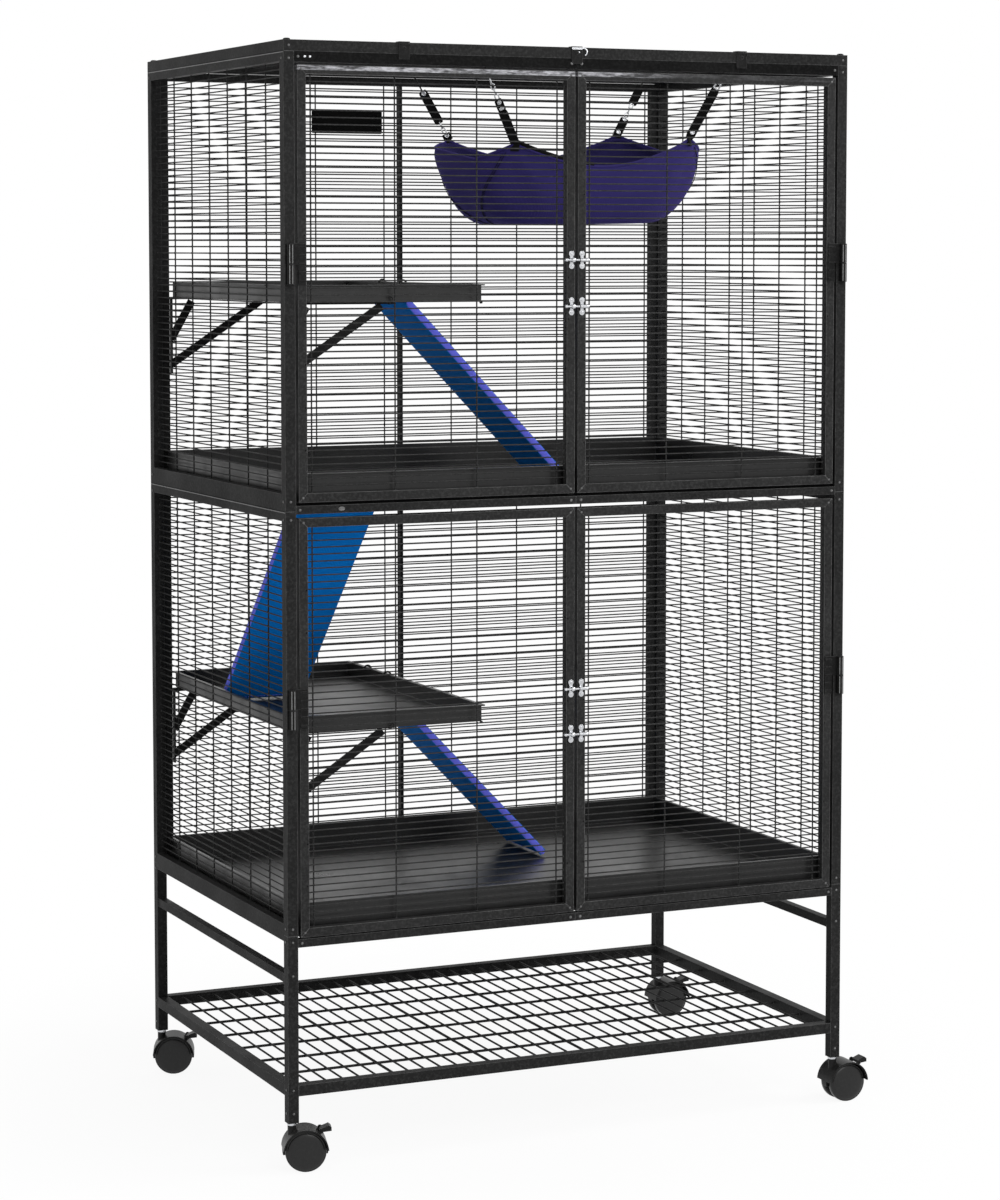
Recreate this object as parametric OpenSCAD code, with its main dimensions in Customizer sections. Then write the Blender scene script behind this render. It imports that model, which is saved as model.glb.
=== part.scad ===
/* [Cage] */
// Width over the corner posts
cage_w = 915; // [760:5:1100]
// Depth over the corner posts
cage_d = 610; // [520:5:760]
// Side of the square corner posts and legs
post_w = 16; // [12:1:22]
// Depth of the rails and door frames, front to back
rail_depth = 13; // [11:0.5:16]

/* [Heights] */
// Height of the lower ends of the legs above the floor
leg_foot_z = 70; // [66:1:110]
// Length of the legs, up to the lower cage
leg_h = 273; // [240:1:330]
// Underside of the storage shelf above the floor
storage_z = 109; // [90:1:150]
// Underside of the side stretchers above the floor
stretcher_z = 273; // [220:1:290]
// Height of the lower cage's corner posts
lower_h = 611; // [560:1:700]
// Height of the upper cage's corner posts
upper_h = 650; // [600:1:720]
// Thickness of the lid
lid_h = 16; // [12:1:22]

/* [Rails] */
// Height of the bottom rail of a side panel
side_bottom_h = 25; // [18:1:30]
// Height of the top rail of a side panel
side_top_h = 14; // [10:1:20]
// Height of the front rails under the doors
front_rail_h = 12; // [9:1:16]
// Height of the front rail over the upper doors
top_rail_h = 15; // [12:1:20]
// How far the lower cage's bottom rails reach below its posts
rail_drop = 9; // [6:1:12]
// Height of the leg stretchers
stretcher_h = 13; // [10:1:18]

/* [Wire mesh] */
// Diameter of the horizontal wires
wire_d = 2; // [1.6:0.1:2.6]
// Diameter of the upright wires
upright_d = 2.2; // [1.8:0.1:2.6]
// Spacing of the horizontal wires
wire_pitch = 10; // [9:0.5:30]
// Spacing of the upright wires in the doors and the back
upright_pitch = 122; // [90:1:140]
// Spacing of the upright wires in the sides
side_pitch = 82; // [60:1:100]

/* [Doors] */
// Width of the door frames' members
door_rail = 13; // [10:0.5:18]
// Gap between the outer face of a post and its door
door_inset = 20.5; // [20:0.5:26]
// Gap between the two doors of a pair
door_gap = 5; // [4:0.5:9]
// Gap between a door and the rail under it
door_foot_gap = 2; // [1:0.5:5]
// Gap between a door and the rail over it
door_head_gap = 3.5; // [1:0.5:7]

/* [Hinges and latches] */
// Height of a hinge
hinge_h = 58; // [44:1:70]
// Radius of a hinge barrel
barrel_r = 5; // [4:0.25:6]
// Radius of a hinge pin
hinge_pin_r = 2.2; // [1.5:0.1:2.8]
// Height of the hinges above the middle of the doors
hinge_up = 29; // [0:1:60]
// Distance between the two latches of a door pair
latch_pitch = 68; // [50:1:110]
// Radius of a latch bolt
bolt_r = 1.6; // [1.2:0.1:2]
// Travel of a latch bolt into its keeper
bolt_throw = 5; // [3:0.5:6]

/* [Floors and shelves] */
// Height of the pan rims
pan_h = 40; // [24:1:50]
// Wall of the pans
pan_wall = 2; // [1.5:0.25:3]
// Width of the shelves
shelf_w = 302; // [240:1:340]
// Room between a shelf and the back panel
shelf_back_gap = 34; // [22:1:150]
// Height of the shelf rims
shelf_h = 25; // [18:1:30]
// Height of the shelves over the bottom of each cage's posts
shelf_up = 295; // [240:1:340]

/* [Ramps] */
// Width of the ramps
ramp_w = 130; // [100:5:130]
// Thickness of the ramps
ramp_t = 12; // [8:0.5:16]
// Slope of the ramps in degrees
ramp_slope = 46; // [40:1:52]

/* [Hammock] */
// Half length of the hammock at its widest
hammock_a = 218; // [170:1:230]
// Half width of the hammock at its widest
hammock_b = 138; // [100:1:150]
// Height of the hammock's underside above the upper cage's posts' feet
hammock_up = 410; // [390:1:430]
// Depth of the hammock from its rim to its underside
hammock_deep = 104; // [80:1:110]
// Width of the hammock's straps
strap_w = 15; // [10:1:20]

/* [Casters] */
// Radius of the caster wheels
wheel_r = 30; // [26:1:31]
// Width of one wheel of a twin caster
wheel_w = 13; // [10:1:14]
// Distance from the stem's axis to the axle
caster_trail = 19; // [16:1:20]

/* [Hidden] */

powder_black = "#2b2b2d";
tray_black = "#1d1d1f";
zinc = "#c9ccd0";
ramp_blue = "#1b4fae";
cloth_purple = "#3d3466";

// The frame's origin is the middle of the footprint on the floor, with X to the right,
// Y to the back and Z up.
half_w = cage_w / 2;
half_d = cage_d / 2;
inner_x = half_w - post_w;
inner_y = half_d - post_w;
lower_z = leg_foot_z + leg_h;
upper_z = lower_z + lower_h;
lid_z = upper_z + upper_h;
lower_rail_z = lower_z - rail_drop;
fine = 48;
round_sides = 24;
// How deep wires run into the frame that holds them
bite = 3;
// Gap between wires of one mesh that cross
wire_gap = 0.05;
// Clearance at which a piece rests on another
rest = 0.2;

// ---------------------------------------------------------------- wire mesh

// Horizontal wires along X and uprights along Z over a w by h field whose lower left
// corner is the origin. The uprights stand behind the wires.
module mesh(w, h, setback, uprights, pitch) {
    rows = max(1, round(h / pitch) - 1);
    step = h / (rows + 1);
    for (row = [1:rows])
        translate([-bite, setback, row * step])
            rotate([0, 90, 0])
                cylinder(d = wire_d, h = w + 2 * bite, $fn = round_sides);
    for (x = uprights)
        translate([x, setback + (wire_d + upright_d) / 2 + wire_gap, -bite])
            cylinder(d = upright_d, h = h + 2 * bite, $fn = round_sides);
}

// Upright wires of a field: one near each stile and the rest between them
function spread(w, edge, pitch) =
    let (gaps = max(1, round((w - 2 * edge) / pitch)))
    [for (i = [0:gaps]) edge + i * (w - 2 * edge) / gaps];

// Thin grooves where the mitred corners of a frame meet, in its front face
module mitre_lines(w, h, rail) {
    groove = 0.5;
    // The groove runs out over the inner corner
    past = 1;
    for (sx = [0, 1])
        for (sz = [0, 1])
            translate([sx * w, 0, sz * h])
                mirror([sx, 0, 0])
                    mirror([0, 0, sz])
                        rotate([0, -45, 0])
                            translate([0, -groove, -groove / 2])
                                cube([rail * sqrt(2) + past, 2 * groove, groove]);
}

// Rectangular welded frame with its mesh, front face on the XZ plane
module framed_mesh(w, h, rail, depth, setback, uprights, pitch) {
    difference() {
        cube([w, depth, h]);
        translate([rail, -1, rail])
            cube([w - 2 * rail, depth + 2, h - 2 * rail]);
        mitre_lines(w, h, rail);
    }
    translate([rail, 0, rail])
        mesh(w - 2 * rail, h - 2 * rail, setback, uprights, pitch);
}

// ---------------------------------------------------------------- legs and storage shelf

module leg_pair() {
    for (y = [-half_d, inner_y])
        translate([-half_w, y, leg_foot_z])
            cube([post_w, post_w, leg_h]);
    translate([-half_w + (post_w - rail_depth) / 2, -inner_y - 0.5, stretcher_z])
        cube([rail_depth, 2 * inner_y + 1, stretcher_h]);
}

module left_legs() color(powder_black) leg_pair();

module right_legs() color(powder_black) mirror([1, 0, 0]) leg_pair();

storage_wire_d = 4;
storage_cross_d = 3;
storage_pitch = 83;
storage_cross_pitch = 26;

// Tubes between the legs, with heavy wires from side to side and lighter ones front to back
module storage_shelf() color(powder_black) {
    mid = storage_z + post_w / 2;
    for (s = [0, 1])
        mirror([0, s, 0])
            translate([-inner_x, -half_d, storage_z])
                cube([2 * inner_x, post_w, post_w]);
    for (s = [0, 1])
        mirror([s, 0, 0])
            translate([-half_w, -inner_y, storage_z])
                cube([post_w, 2 * inner_y, post_w]);
    rows = round(2 * inner_y / storage_pitch);
    for (i = [1:rows - 1])
        translate([-inner_x - bite, -inner_y + i * 2 * inner_y / rows, mid])
            rotate([0, 90, 0])
                cylinder(d = storage_wire_d, h = 2 * (inner_x + bite), $fn = round_sides);
    lines = round(2 * inner_x / storage_cross_pitch);
    for (i = [1:lines - 1])
        let (d = i % 6 == 0 ? storage_wire_d : storage_cross_d)
        translate([-inner_x + i * 2 * inner_x / lines, -inner_y - bite,
                mid + storage_wire_d / 2 + d / 2 + wire_gap])
            rotate([-90, 0, 0])
                cylinder(d = d, h = 2 * (inner_y + bite), $fn = round_sides);
}

// ---------------------------------------------------------------- cage panels

mesh_setback = 9.5;

// Two corner posts, a bottom and a top rail and the mesh between them, on the left side
module side_panel(post_z, post_h, rail_z) {
    top = post_z + post_h;
    field_z = rail_z + side_bottom_h;
    field_h = top - side_top_h - field_z;
    for (y = [-half_d, inner_y])
        translate([-half_w, y, post_z])
            cube([post_w, post_w, post_h]);
    for (rail = [[rail_z, side_bottom_h], [top - side_top_h, side_top_h]])
        translate([-half_w, -inner_y, rail[0]])
            cube([rail_depth, 2 * inner_y, rail[1]]);
    ups = [for (y = [22:side_pitch:cage_d - post_w - 4]) cage_d - y - post_w];
    translate([-half_w, inner_y, field_z])
        rotate([0, 0, -90])
            mesh(2 * inner_y, field_h, mesh_setback, ups, wire_pitch);
}

module lower_left_panel() color(powder_black) side_panel(lower_z, lower_h, lower_rail_z);

module lower_right_panel() color(powder_black)
    mirror([1, 0, 0]) side_panel(lower_z, lower_h, lower_rail_z);

module upper_left_panel() color(powder_black) side_panel(upper_z, upper_h, upper_z);

module upper_right_panel() color(powder_black)
    mirror([1, 0, 0]) side_panel(upper_z, upper_h, upper_z);

back_gap = 1;
// Width of the back panels' upright stiffening bar, and how far left of the middle it stands
back_bar_w = 5;
back_bar_left = 30;

// Framed mesh between the back posts, with one stiffening bar near the middle
module back_panel(z, h) {
    w = 2 * inner_x;
    field = w - 2 * door_rail;
    bar_at = field / 2 + back_bar_left;
    translate([inner_x, half_d, z])
        rotate([0, 0, 180])
            framed_mesh(w, h, door_rail, rail_depth, mesh_setback,
                [for (x = spread(field, 11, upright_pitch)) if (abs(x - bar_at) > back_bar_w) x],
                wire_pitch);
    translate([-back_bar_left - back_bar_w / 2, half_d - rail_depth, z + door_rail - 1])
        cube([back_bar_w, rail_depth, h - 2 * door_rail + 2]);
}

module lower_back_panel() color(powder_black)
    back_panel(lower_rail_z + back_gap, upper_z - lower_rail_z - 2 * back_gap);

module upper_back_panel() color(powder_black)
    back_panel(upper_z + back_gap, upper_h - 2 * back_gap);

lid_rail = 16;
// Depth of the lid's mesh below its top face
lid_setback = 6;

// Mitred lid frame with mesh, lying on the posts
module lid() color(powder_black)
    translate([-half_w, -half_d, lid_z + lid_h])
        rotate([-90, 0, 0])
            framed_mesh(cage_w, cage_d, lid_rail, lid_h, lid_setback,
                spread(cage_w - 2 * lid_rail, 28, upright_pitch / 2), wire_pitch);

// ---------------------------------------------------------------- front rails

joint_gap = 0.6;
sleeve_len = 60;
sleeve_clear = 0.1;

// A rail between the front posts: two halves that meet in the middle over an inner sleeve
module front_rail(z, h) {
    half_len = inner_x - joint_gap / 2;
    socket = h - 4;
    for (s = [0, 1])
        mirror([s, 0, 0])
            difference() {
                translate([joint_gap / 2, -half_d, z])
                    cube([half_len, rail_depth, h]);
                translate([0, -half_d + 2, z + 2])
                    cube([sleeve_len / 2 + 1, rail_depth - 4, socket]);
            }
    translate([-sleeve_len / 2, -half_d + 2 + sleeve_clear, z + 2 + sleeve_clear])
        cube([sleeve_len, rail_depth - 4 - 2 * sleeve_clear, socket - 2 * sleeve_clear]);
}

mid_rail_z = upper_z - 4;
bottom_rail_z = lower_z - 17;

module front_top_rail() color(powder_black) front_rail(lid_z - top_rail_h, top_rail_h);

module front_mid_rail() color(powder_black) front_rail(mid_rail_z, front_rail_h);

module front_bottom_rail() color(powder_black) front_rail(bottom_rail_z, front_rail_h);

clip_w = 17;
clip_t = 1.2;
clip_reach = 12;
clip_hang = 8;
clip_share = 0.62;
clip_rivet_r = 2.4;

// Spring clips that hold the lid down on the front top rail
module lid_clips() color(powder_black)
    for (x = [-inner_x * clip_share, 0, inner_x * clip_share])
        translate([x - clip_w / 2, -half_d - rest, 0]) {
            translate([0, -clip_t, lid_z - clip_hang])
                cube([clip_w, clip_t, lid_h + clip_hang + clip_t + rest]);
            translate([0, -clip_t, lid_z + lid_h + rest])
                cube([clip_w, clip_reach, clip_t]);
            translate([clip_w / 2, -clip_t, lid_z + lid_h / 2])
                rotate([90, 0, 0])
                    cylinder(r = clip_rivet_r, h = 1, $fn = fine);
        }

// Low caps on the lid over the corner posts
module post_caps() color(tray_black)
    for (x = [-1, 1])
        for (y = [-1, 1])
            translate([x * (half_w - post_w / 2), y * (half_d - post_w / 2), lid_z + lid_h]) {
                cylinder(r = 5, h = 1.5, $fn = fine);
                translate([0, 0, 1.5])
                    cylinder(r1 = 5, r2 = 3, h = 1, $fn = fine);
            }

// ---------------------------------------------------------------- doors

door_w = half_w - door_inset - door_gap / 2;
// The lower doors end lower than the upper ones, and the upper ones start higher
lower_door_drop = 2.5;
upper_door_rise = 2.5;
lower_door_z = bottom_rail_z + front_rail_h + door_foot_gap;
lower_door_h = mid_rail_z - door_head_gap - lower_door_drop - lower_door_z;
upper_door_z = mid_rail_z + front_rail_h + door_foot_gap + upper_door_rise;
upper_door_h = lid_z - top_rail_h - door_head_gap - upper_door_z;

// Left door of a pair
module door(z, h) {
    field = door_w - 2 * door_rail;
    translate([-half_w + door_inset, -half_d, z])
        framed_mesh(door_w, h, door_rail, rail_depth, mesh_setback,
            spread(field, 11, upright_pitch), wire_pitch);
}

module upper_left_door() color(powder_black) door(upper_door_z, upper_door_h);

module upper_right_door() color(powder_black) mirror([1, 0, 0]) door(upper_door_z, upper_door_h);

module lower_left_door() color(powder_black) door(lower_door_z, lower_door_h);

module lower_right_door() color(powder_black) mirror([1, 0, 0]) door(lower_door_z, lower_door_h);

// ---------------------------------------------------------------- hinges

// The pin stands in front of the post, in line with its inner half
pin_x = -half_w + 7.5;
leaf_t = 1.5;
pin_y = -half_d - leaf_t - barrel_r + 0.5;
pin_clear = 0.06;
knuckle_gap = 0.4;
leaf_reach = 11;
upper_hinge_z = upper_door_z + upper_door_h / 2 + hinge_up - hinge_h / 2;
lower_hinge_z = lower_door_z + lower_door_h / 2 + hinge_up - hinge_h / 2;

// Lower knuckle with the fixed pin and the leaf on the post, for a left door
module post_leaf(z) {
    translate([-half_w + 1, -half_d - leaf_t, z])
        cube([post_w - 2, leaf_t, hinge_h / 2 - knuckle_gap]);
    translate([pin_x, pin_y, z])
        cylinder(r = barrel_r, h = hinge_h / 2 - knuckle_gap, $fn = fine);
    translate([pin_x, pin_y, z])
        cylinder(r = hinge_pin_r, h = hinge_h - 4, $fn = fine);
}

// Upper knuckle, bored for the pin, and the ridged leaf on the door's stile
module door_leaf(z) {
    stile_x = -half_w + door_inset;
    difference() {
        union() {
            translate([pin_x, pin_y, z + hinge_h / 2])
                cylinder(r = barrel_r, h = hinge_h / 2, $fn = fine);
            translate([pin_x, -half_d - leaf_t - 1, z + hinge_h / 2])
                cube([stile_x - pin_x + 1, leaf_t, hinge_h / 2]);
            translate([stile_x + 0.5, -half_d - leaf_t - 1, z])
                cube([leaf_reach, leaf_t + 1, hinge_h]);
            for (i = [0:4])
                translate([stile_x + 0.5, -half_d - leaf_t - 1, z + 5 + i * (hinge_h - 10) / 4])
                    rotate([0, 90, 0])
                        cylinder(r = 1.2, h = leaf_reach, $fn = round_sides);
        }
        translate([pin_x, pin_y, z + hinge_h / 2 - 1])
            cylinder(r = hinge_pin_r + pin_clear, h = hinge_h / 2 - 2, $fn = fine);
    }
}

module post_hinge_leaves() color(tray_black)
    for (s = [0, 1])
        for (z = [lower_hinge_z, upper_hinge_z])
            mirror([s, 0, 0]) post_leaf(z);

module upper_left_hinge_leaf() color(tray_black) door_leaf(upper_hinge_z);

module upper_right_hinge_leaf() color(tray_black) mirror([1, 0, 0]) door_leaf(upper_hinge_z);

module lower_left_hinge_leaf() color(tray_black) door_leaf(lower_hinge_z);

module lower_right_hinge_leaf() color(tray_black) mirror([1, 0, 0]) door_leaf(lower_hinge_z);

// ---------------------------------------------------------------- latches

lobe_r = 4.2;
lobe_up = 9;
plate_t = 1.6;
plate_x = door_gap / 2 + door_rail / 2 - 0.5;
bolt_y = -half_d - plate_t - 6.5;
bush_r = 4;
bolt_clear = 0.08;
// The bolt's tip stops just short of the other door
tip_gap = 0.5;
tip_x = door_gap / 2 - tip_gap;
knob_r = 2.6;
knob_len = 4.4;
knob_bevel = 0.8;
knob_x = -plate_x - bush_r - bolt_throw - knob_r;
upper_latch_z = upper_door_z + upper_door_h / 2;
lower_latch_z = lower_door_z + lower_door_h / 2;

// Two round lobes and a waist, riveted to the stile
module latch_plate() {
    for (s = [-1, 1])
        translate([0, -half_d, s * lobe_up])
            rotate([90, 0, 0]) {
                cylinder(r = lobe_r, h = plate_t, $fn = fine);
                cylinder(r = 1.8, h = plate_t + 0.9, $fn = fine);
            }
    translate([-2.6, -half_d - plate_t, -lobe_up])
        cube([5.2, plate_t, 2 * lobe_up]);
}

// Round bush bored along its own axis
module bush()
    rotate([0, 90, 0])
        rotate_extrude($fn = fine)
            difference() {
                circle(r = bush_r, $fn = fine);
                translate([-2 * bush_r, -bush_r - 1])
                    square([2 * bush_r + bolt_r + bolt_clear, 2 * bush_r + 2]);
            }

stem_bite = 0.8;

// Plate on the left stile whose round bush carries the bolt
module latch_guide(z)
    translate([-plate_x, 0, z]) {
        latch_plate();
        translate([0, bolt_y, 0])
            bush();
        translate([0, -half_d - 0.5, 0])
            rotate([90, 0, 0])
                cylinder(r = 1.8, h = -half_d - 0.5 - bolt_y - bush_r + stem_bite, $fn = fine);
    }

keeper_end = door_rail + 1.5;

// Plate on the right stile whose sleeve takes the bolt and ends in a small ball
module latch_keeper(z)
    translate([0, 0, z])
        difference() {
            union() {
                translate([plate_x, 0, 0])
                    latch_plate();
                translate([door_gap / 2, bolt_y, 0])
                    rotate([0, 90, 0])
                        cylinder(r = bolt_r + 1.2, h = keeper_end - door_gap / 2, $fn = fine);
                translate([keeper_end, bolt_y, 0])
                    sphere(r = bolt_r + 1.5, $fn = fine);
                translate([plate_x, -half_d - 0.5, 0])
                    rotate([90, 0, 0])
                        cylinder(r = 2.4, h = -half_d - 0.5 - bolt_y, $fn = fine);
            }
            translate([door_gap / 2 - 1, bolt_y, 0])
                rotate([0, 90, 0])
                    cylinder(r = bolt_r + bolt_clear, h = bolt_throw + 2, $fn = fine);
        }

// Turned bolt: a knob with bevelled ends and a plain rod
module latch_bolt(z)
    translate([knob_x - knob_len / 2, bolt_y, z])
        rotate([0, 90, 0])
            rotate_extrude($fn = fine)
                polygon([[0, 0], [knob_r - knob_bevel, 0], [knob_r, knob_bevel],
                    [knob_r, knob_len - knob_bevel], [knob_r - knob_bevel, knob_len],
                    [bolt_r, knob_len], [bolt_r, tip_x - knob_x + knob_len / 2],
                    [0, tip_x - knob_x + knob_len / 2]]);

module upper_latch_guides() color(zinc)
    for (s = [-1, 1]) latch_guide(upper_latch_z + s * latch_pitch / 2);

module lower_latch_guides() color(zinc)
    for (s = [-1, 1]) latch_guide(lower_latch_z + s * latch_pitch / 2);

module upper_latch_keepers() color(zinc)
    for (s = [-1, 1]) latch_keeper(upper_latch_z + s * latch_pitch / 2);

module lower_latch_keepers() color(zinc)
    for (s = [-1, 1]) latch_keeper(lower_latch_z + s * latch_pitch / 2);

module upper_top_bolt() color(zinc) latch_bolt(upper_latch_z + latch_pitch / 2);

module upper_bottom_bolt() color(zinc) latch_bolt(upper_latch_z - latch_pitch / 2);

module lower_top_bolt() color(zinc) latch_bolt(lower_latch_z + latch_pitch / 2);

module lower_bottom_bolt() color(zinc) latch_bolt(lower_latch_z - latch_pitch / 2);

// ---------------------------------------------------------------- floors and pans

grid_border = 5;
grid_wire_d = 3;
grid_pitch = 26;
grid_up = 12;
side_gap = 0.2;
floor_x = half_w - rail_depth - side_gap;
floor_y = inner_y - 0.5;
pan_x = inner_x - 2;
pan_y = inner_y - 1.5;
pan_lip = 3;
// Opening in the upper floor and pan for the middle ramp: left, right, front and back edges
hole_clear = 4;
hole_x0 = -pan_x + pan_lip + pan_wall + 2;
ramp_x0 = hole_x0 + hole_clear;
hole_x1 = ramp_x0 + ramp_w + hole_clear;
hole_y0 = -inner_y + 40;
hole_len = 120;
hole_y1 = hole_y0 + hole_len;

// A mat of welded wires inside a square border, with its top at z
module wire_mat(x0, x1, y0, y1, z) {
    w = x1 - x0;
    d = y1 - y0;
    translate([x0, y0, z - grid_border])
        difference() {
            cube([w, d, grid_border]);
            translate([grid_border, grid_border, -1])
                cube([w - 2 * grid_border, d - 2 * grid_border, grid_border + 2]);
        }
    lines = max(2, round(w / grid_pitch));
    for (i = [1:lines - 1])
        translate([x0 + i * w / lines, y0 + 1, z - grid_wire_d / 2])
            rotate([-90, 0, 0])
                cylinder(d = grid_wire_d, h = d - 2, $fn = round_sides);
    rows = max(2, round(d / (4 * grid_pitch)));
    for (i = [1:rows - 1])
        translate([x0 + 1, y0 + i * d / rows, z - grid_wire_d * 1.5 - wire_gap])
            rotate([0, 90, 0])
                cylinder(d = grid_wire_d - 0.2, h = w - 2, $fn = round_sides);
}

lower_grid_z = lower_rail_z + grid_up;
upper_grid_z = upper_z + grid_up;

module lower_floor_grid() color(powder_black)
    wire_mat(-floor_x, floor_x, -floor_y, floor_y, lower_grid_z);

// Three mats round the ramp opening
module upper_floor_grid() color(powder_black) {
    wire_mat(hole_x1, floor_x, -floor_y, floor_y, upper_grid_z);
    wire_mat(-floor_x, hole_x1, hole_y1, floor_y, upper_grid_z);
    wire_mat(-floor_x, hole_x1, -floor_y, hole_y0, upper_grid_z);
}

// Open tray with a small turned-out lip
module tray(w, d, h, wall, lip) {
    difference() {
        union() {
            translate([-w / 2 + lip, -d / 2 + lip, 0])
                cube([w - 2 * lip, d - 2 * lip, h]);
            translate([-w / 2, -d / 2, h - wall])
                cube([w, d, wall]);
        }
        translate([-w / 2 + lip + wall, -d / 2 + lip + wall, wall])
            cube([w - 2 * (lip + wall), d - 2 * (lip + wall), h]);
    }
}

module lower_pan() color(tray_black)
    translate([0, 0, lower_grid_z + rest])
        tray(2 * pan_x, 2 * pan_y, pan_h, pan_wall, pan_lip);

// The upper pan has a walled opening over the ramp
module upper_pan() color(tray_black)
    translate([0, 0, upper_grid_z + rest])
        difference() {
            union() {
                tray(2 * pan_x, 2 * pan_y, pan_h, pan_wall, pan_lip);
                translate([hole_x0 - pan_wall, hole_y0 - pan_wall, 0])
                    cube([hole_x1 - hole_x0 + 2 * pan_wall, hole_len + 2 * pan_wall, pan_h / 2]);
            }
            translate([hole_x0, hole_y0, -1])
                cube([hole_x1 - hole_x0, hole_len, pan_h]);
        }

pan_floor_up = rest + pan_wall;

// ---------------------------------------------------------------- shelves

// The shelves hook on the left side's mesh and lie on two braces each
shelf_x0 = -half_w + rail_depth + 4;
shelf_x1 = shelf_x0 + shelf_w;
shelf_front_gap = 4;
shelf_y0 = -inner_y + shelf_front_gap;
shelf_y1 = inner_y - shelf_back_gap;
shelf_d = shelf_y1 - shelf_y0;
shelf_lip = 4;
// Inner side of the side mesh's uprights, where shelf ears and brace feet stand
shelf_ear_x = -half_w + mesh_setback + wire_d / 2 + upright_d + wire_gap + 0.3;
lower_shelf_z = lower_z + shelf_up - 6;
upper_shelf_z = upper_z + shelf_up + 1;

module shelf_tray(z) {
    translate([shelf_x0 + shelf_w / 2, shelf_y0 + shelf_d / 2, z])
        tray(shelf_w, shelf_d, shelf_h, pan_wall, shelf_lip);
    // Ears that reach from the tray's lip to the side mesh
    for (y = [0.2, 0.8])
        translate([shelf_ear_x, shelf_y0 + y * shelf_d - 12, z + shelf_h - pan_wall])
            cube([shelf_x0 + 1 - shelf_ear_x, 24, pan_wall]);
}

module upper_shelf() color(tray_black) shelf_tray(upper_shelf_z);

module lower_shelf() color(tray_black) shelf_tray(lower_shelf_z);

brace_w = 12;
brace_t = 3;
brace_drop = 105;
brace_run = 150;
brace_inset = 18;
short_run = 34;
short_drop = 58;

// A flat bar in the XZ plane from one point to another
module brace_bar(x0, z0, x1, z1) {
    len = sqrt(pow(x1 - x0, 2) + pow(z1 - z0, 2));
    translate([x0, 0, z0])
        rotate([0, -atan2(z1 - z0, x1 - x0), 0])
            translate([0, -brace_t / 2, -brace_w / 2])
                cube([len, brace_t, brace_w]);
}

// A long and a short bar spread from the posts' inner edge to a strip under the shelf
module brace_set(y, z) {
    foot_x = shelf_ear_x;
    strip_t = 3;
    translate([0, y, 0])
        difference() {
            union() {
                brace_bar(foot_x, z - brace_drop, foot_x + brace_run, z - 6);
                brace_bar(foot_x, z - short_drop - 8, foot_x + short_run, z - 6);
                translate([foot_x, -brace_t / 2, z - strip_t - rest])
                    cube([brace_run + 20, brace_t + 6, strip_t]);
            }
            translate([foot_x - 40, -20, z - rest])
                cube([brace_run + 90, 40, 30]);
            translate([foot_x - 40, -20, z - brace_drop - 40])
                cube([40, 40, brace_drop + 60]);
        }
    // Foot strip that stands against the side mesh
    translate([foot_x - 0.1, y - brace_t / 2, z - brace_drop - 14])
        cube([2.5, brace_t + 5, brace_drop + 14 - rest]);
}

module shelf_braces() color(tray_black)
    for (z = [lower_shelf_z, upper_shelf_z])
        for (y = [shelf_y0 + brace_inset, shelf_y1 - brace_inset])
            brace_set(y, z);

// ---------------------------------------------------------------- ramps

ramp_hook_r = 6;
ramp_hook_d = 3;
ramp_hook_turn = 170;
ramp_hook_share = 0.18;
ramp_end_gap = 2.5;
foot_gap = 0.2;
// How far the hooks' centre lies below the top of a wall or rim, given half its thickness
function hook_down(half) = sqrt(pow(ramp_hook_r - ramp_hook_d / 2 - rest, 2) - half * half);

// A ramp that hangs from a wall's top edge at the origin and descends along +X
// to a floor that lies drop below that edge. Its board starts board_drop below the edge,
// and its two flat hooks turn about the axis on which the ramp is lifted.
module ramp(drop, board_drop, slope, half_edge) {
    down = hook_down(half_edge);
    leg = board_drop + ramp_hook_r - down;
    length = (drop - board_drop - foot_gap - ramp_t * cos(slope)) / sin(slope);
    translate([ramp_end_gap, 0, -board_drop])
        rotate([0, slope, 0])
            translate([0, 0, -ramp_t])
                cube([length, ramp_w, ramp_t]);
    for (y = [ramp_hook_share, 1 - ramp_hook_share])
        translate([0, y * ramp_w, -down]) {
            rotate([90, 0, 0])
                rotate_extrude(angle = ramp_hook_turn, $fn = fine)
                    translate([ramp_hook_r - ramp_hook_d / 2, -ramp_hook_d / 2])
                        square(ramp_hook_d);
            translate([ramp_hook_r - ramp_hook_d / 2, -ramp_hook_d / 2, -leg])
                cube([ramp_hook_d, ramp_hook_d, leg]);
        }
}

// The side ramps hang on the shelves' right rims
rim_half = (shelf_lip + pan_wall) / 2;
side_ramp_x = shelf_x1 - rim_half;
ramp_board_drop = shelf_h + 1;
// Places of the side ramps, from the front and from the back end of their shelves
upper_ramp_y = shelf_y0 + 280;
lower_ramp_y = shelf_y1 - 63 - ramp_w;

module side_ramp(shelf_z, floor_z, y)
    translate([side_ramp_x, y, shelf_z + shelf_h])
        ramp(shelf_z + shelf_h - floor_z, ramp_board_drop, ramp_slope, rim_half);

module upper_ramp() color(ramp_blue)
    side_ramp(upper_shelf_z, upper_grid_z + pan_floor_up, upper_ramp_y);

module lower_ramp() color(ramp_blue)
    side_ramp(lower_shelf_z, lower_grid_z + pan_floor_up, lower_ramp_y);

// The middle ramp hangs from the front wall of the upper pan's opening and
// descends to the back, on to the lower shelf
middle_edge_z = upper_grid_z + rest + pan_h / 2;

module middle_ramp() color(ramp_blue)
    translate([ramp_x0 + ramp_w, hole_y0 - pan_wall / 2, middle_edge_z])
        rotate([0, 0, 90])
            ramp(middle_edge_z - lower_shelf_z - pan_wall, pan_h / 2 + grid_border + 1,
                ramp_slope, pan_wall / 2);

// ---------------------------------------------------------------- hammock

hammock_x = 132;
hammock_wall = 5;
hammock_z = upper_z + hammock_up;
ring_steps = 40;
// How square the hammock is: 2 is an ellipse
hammock_square = 3.4;
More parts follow.
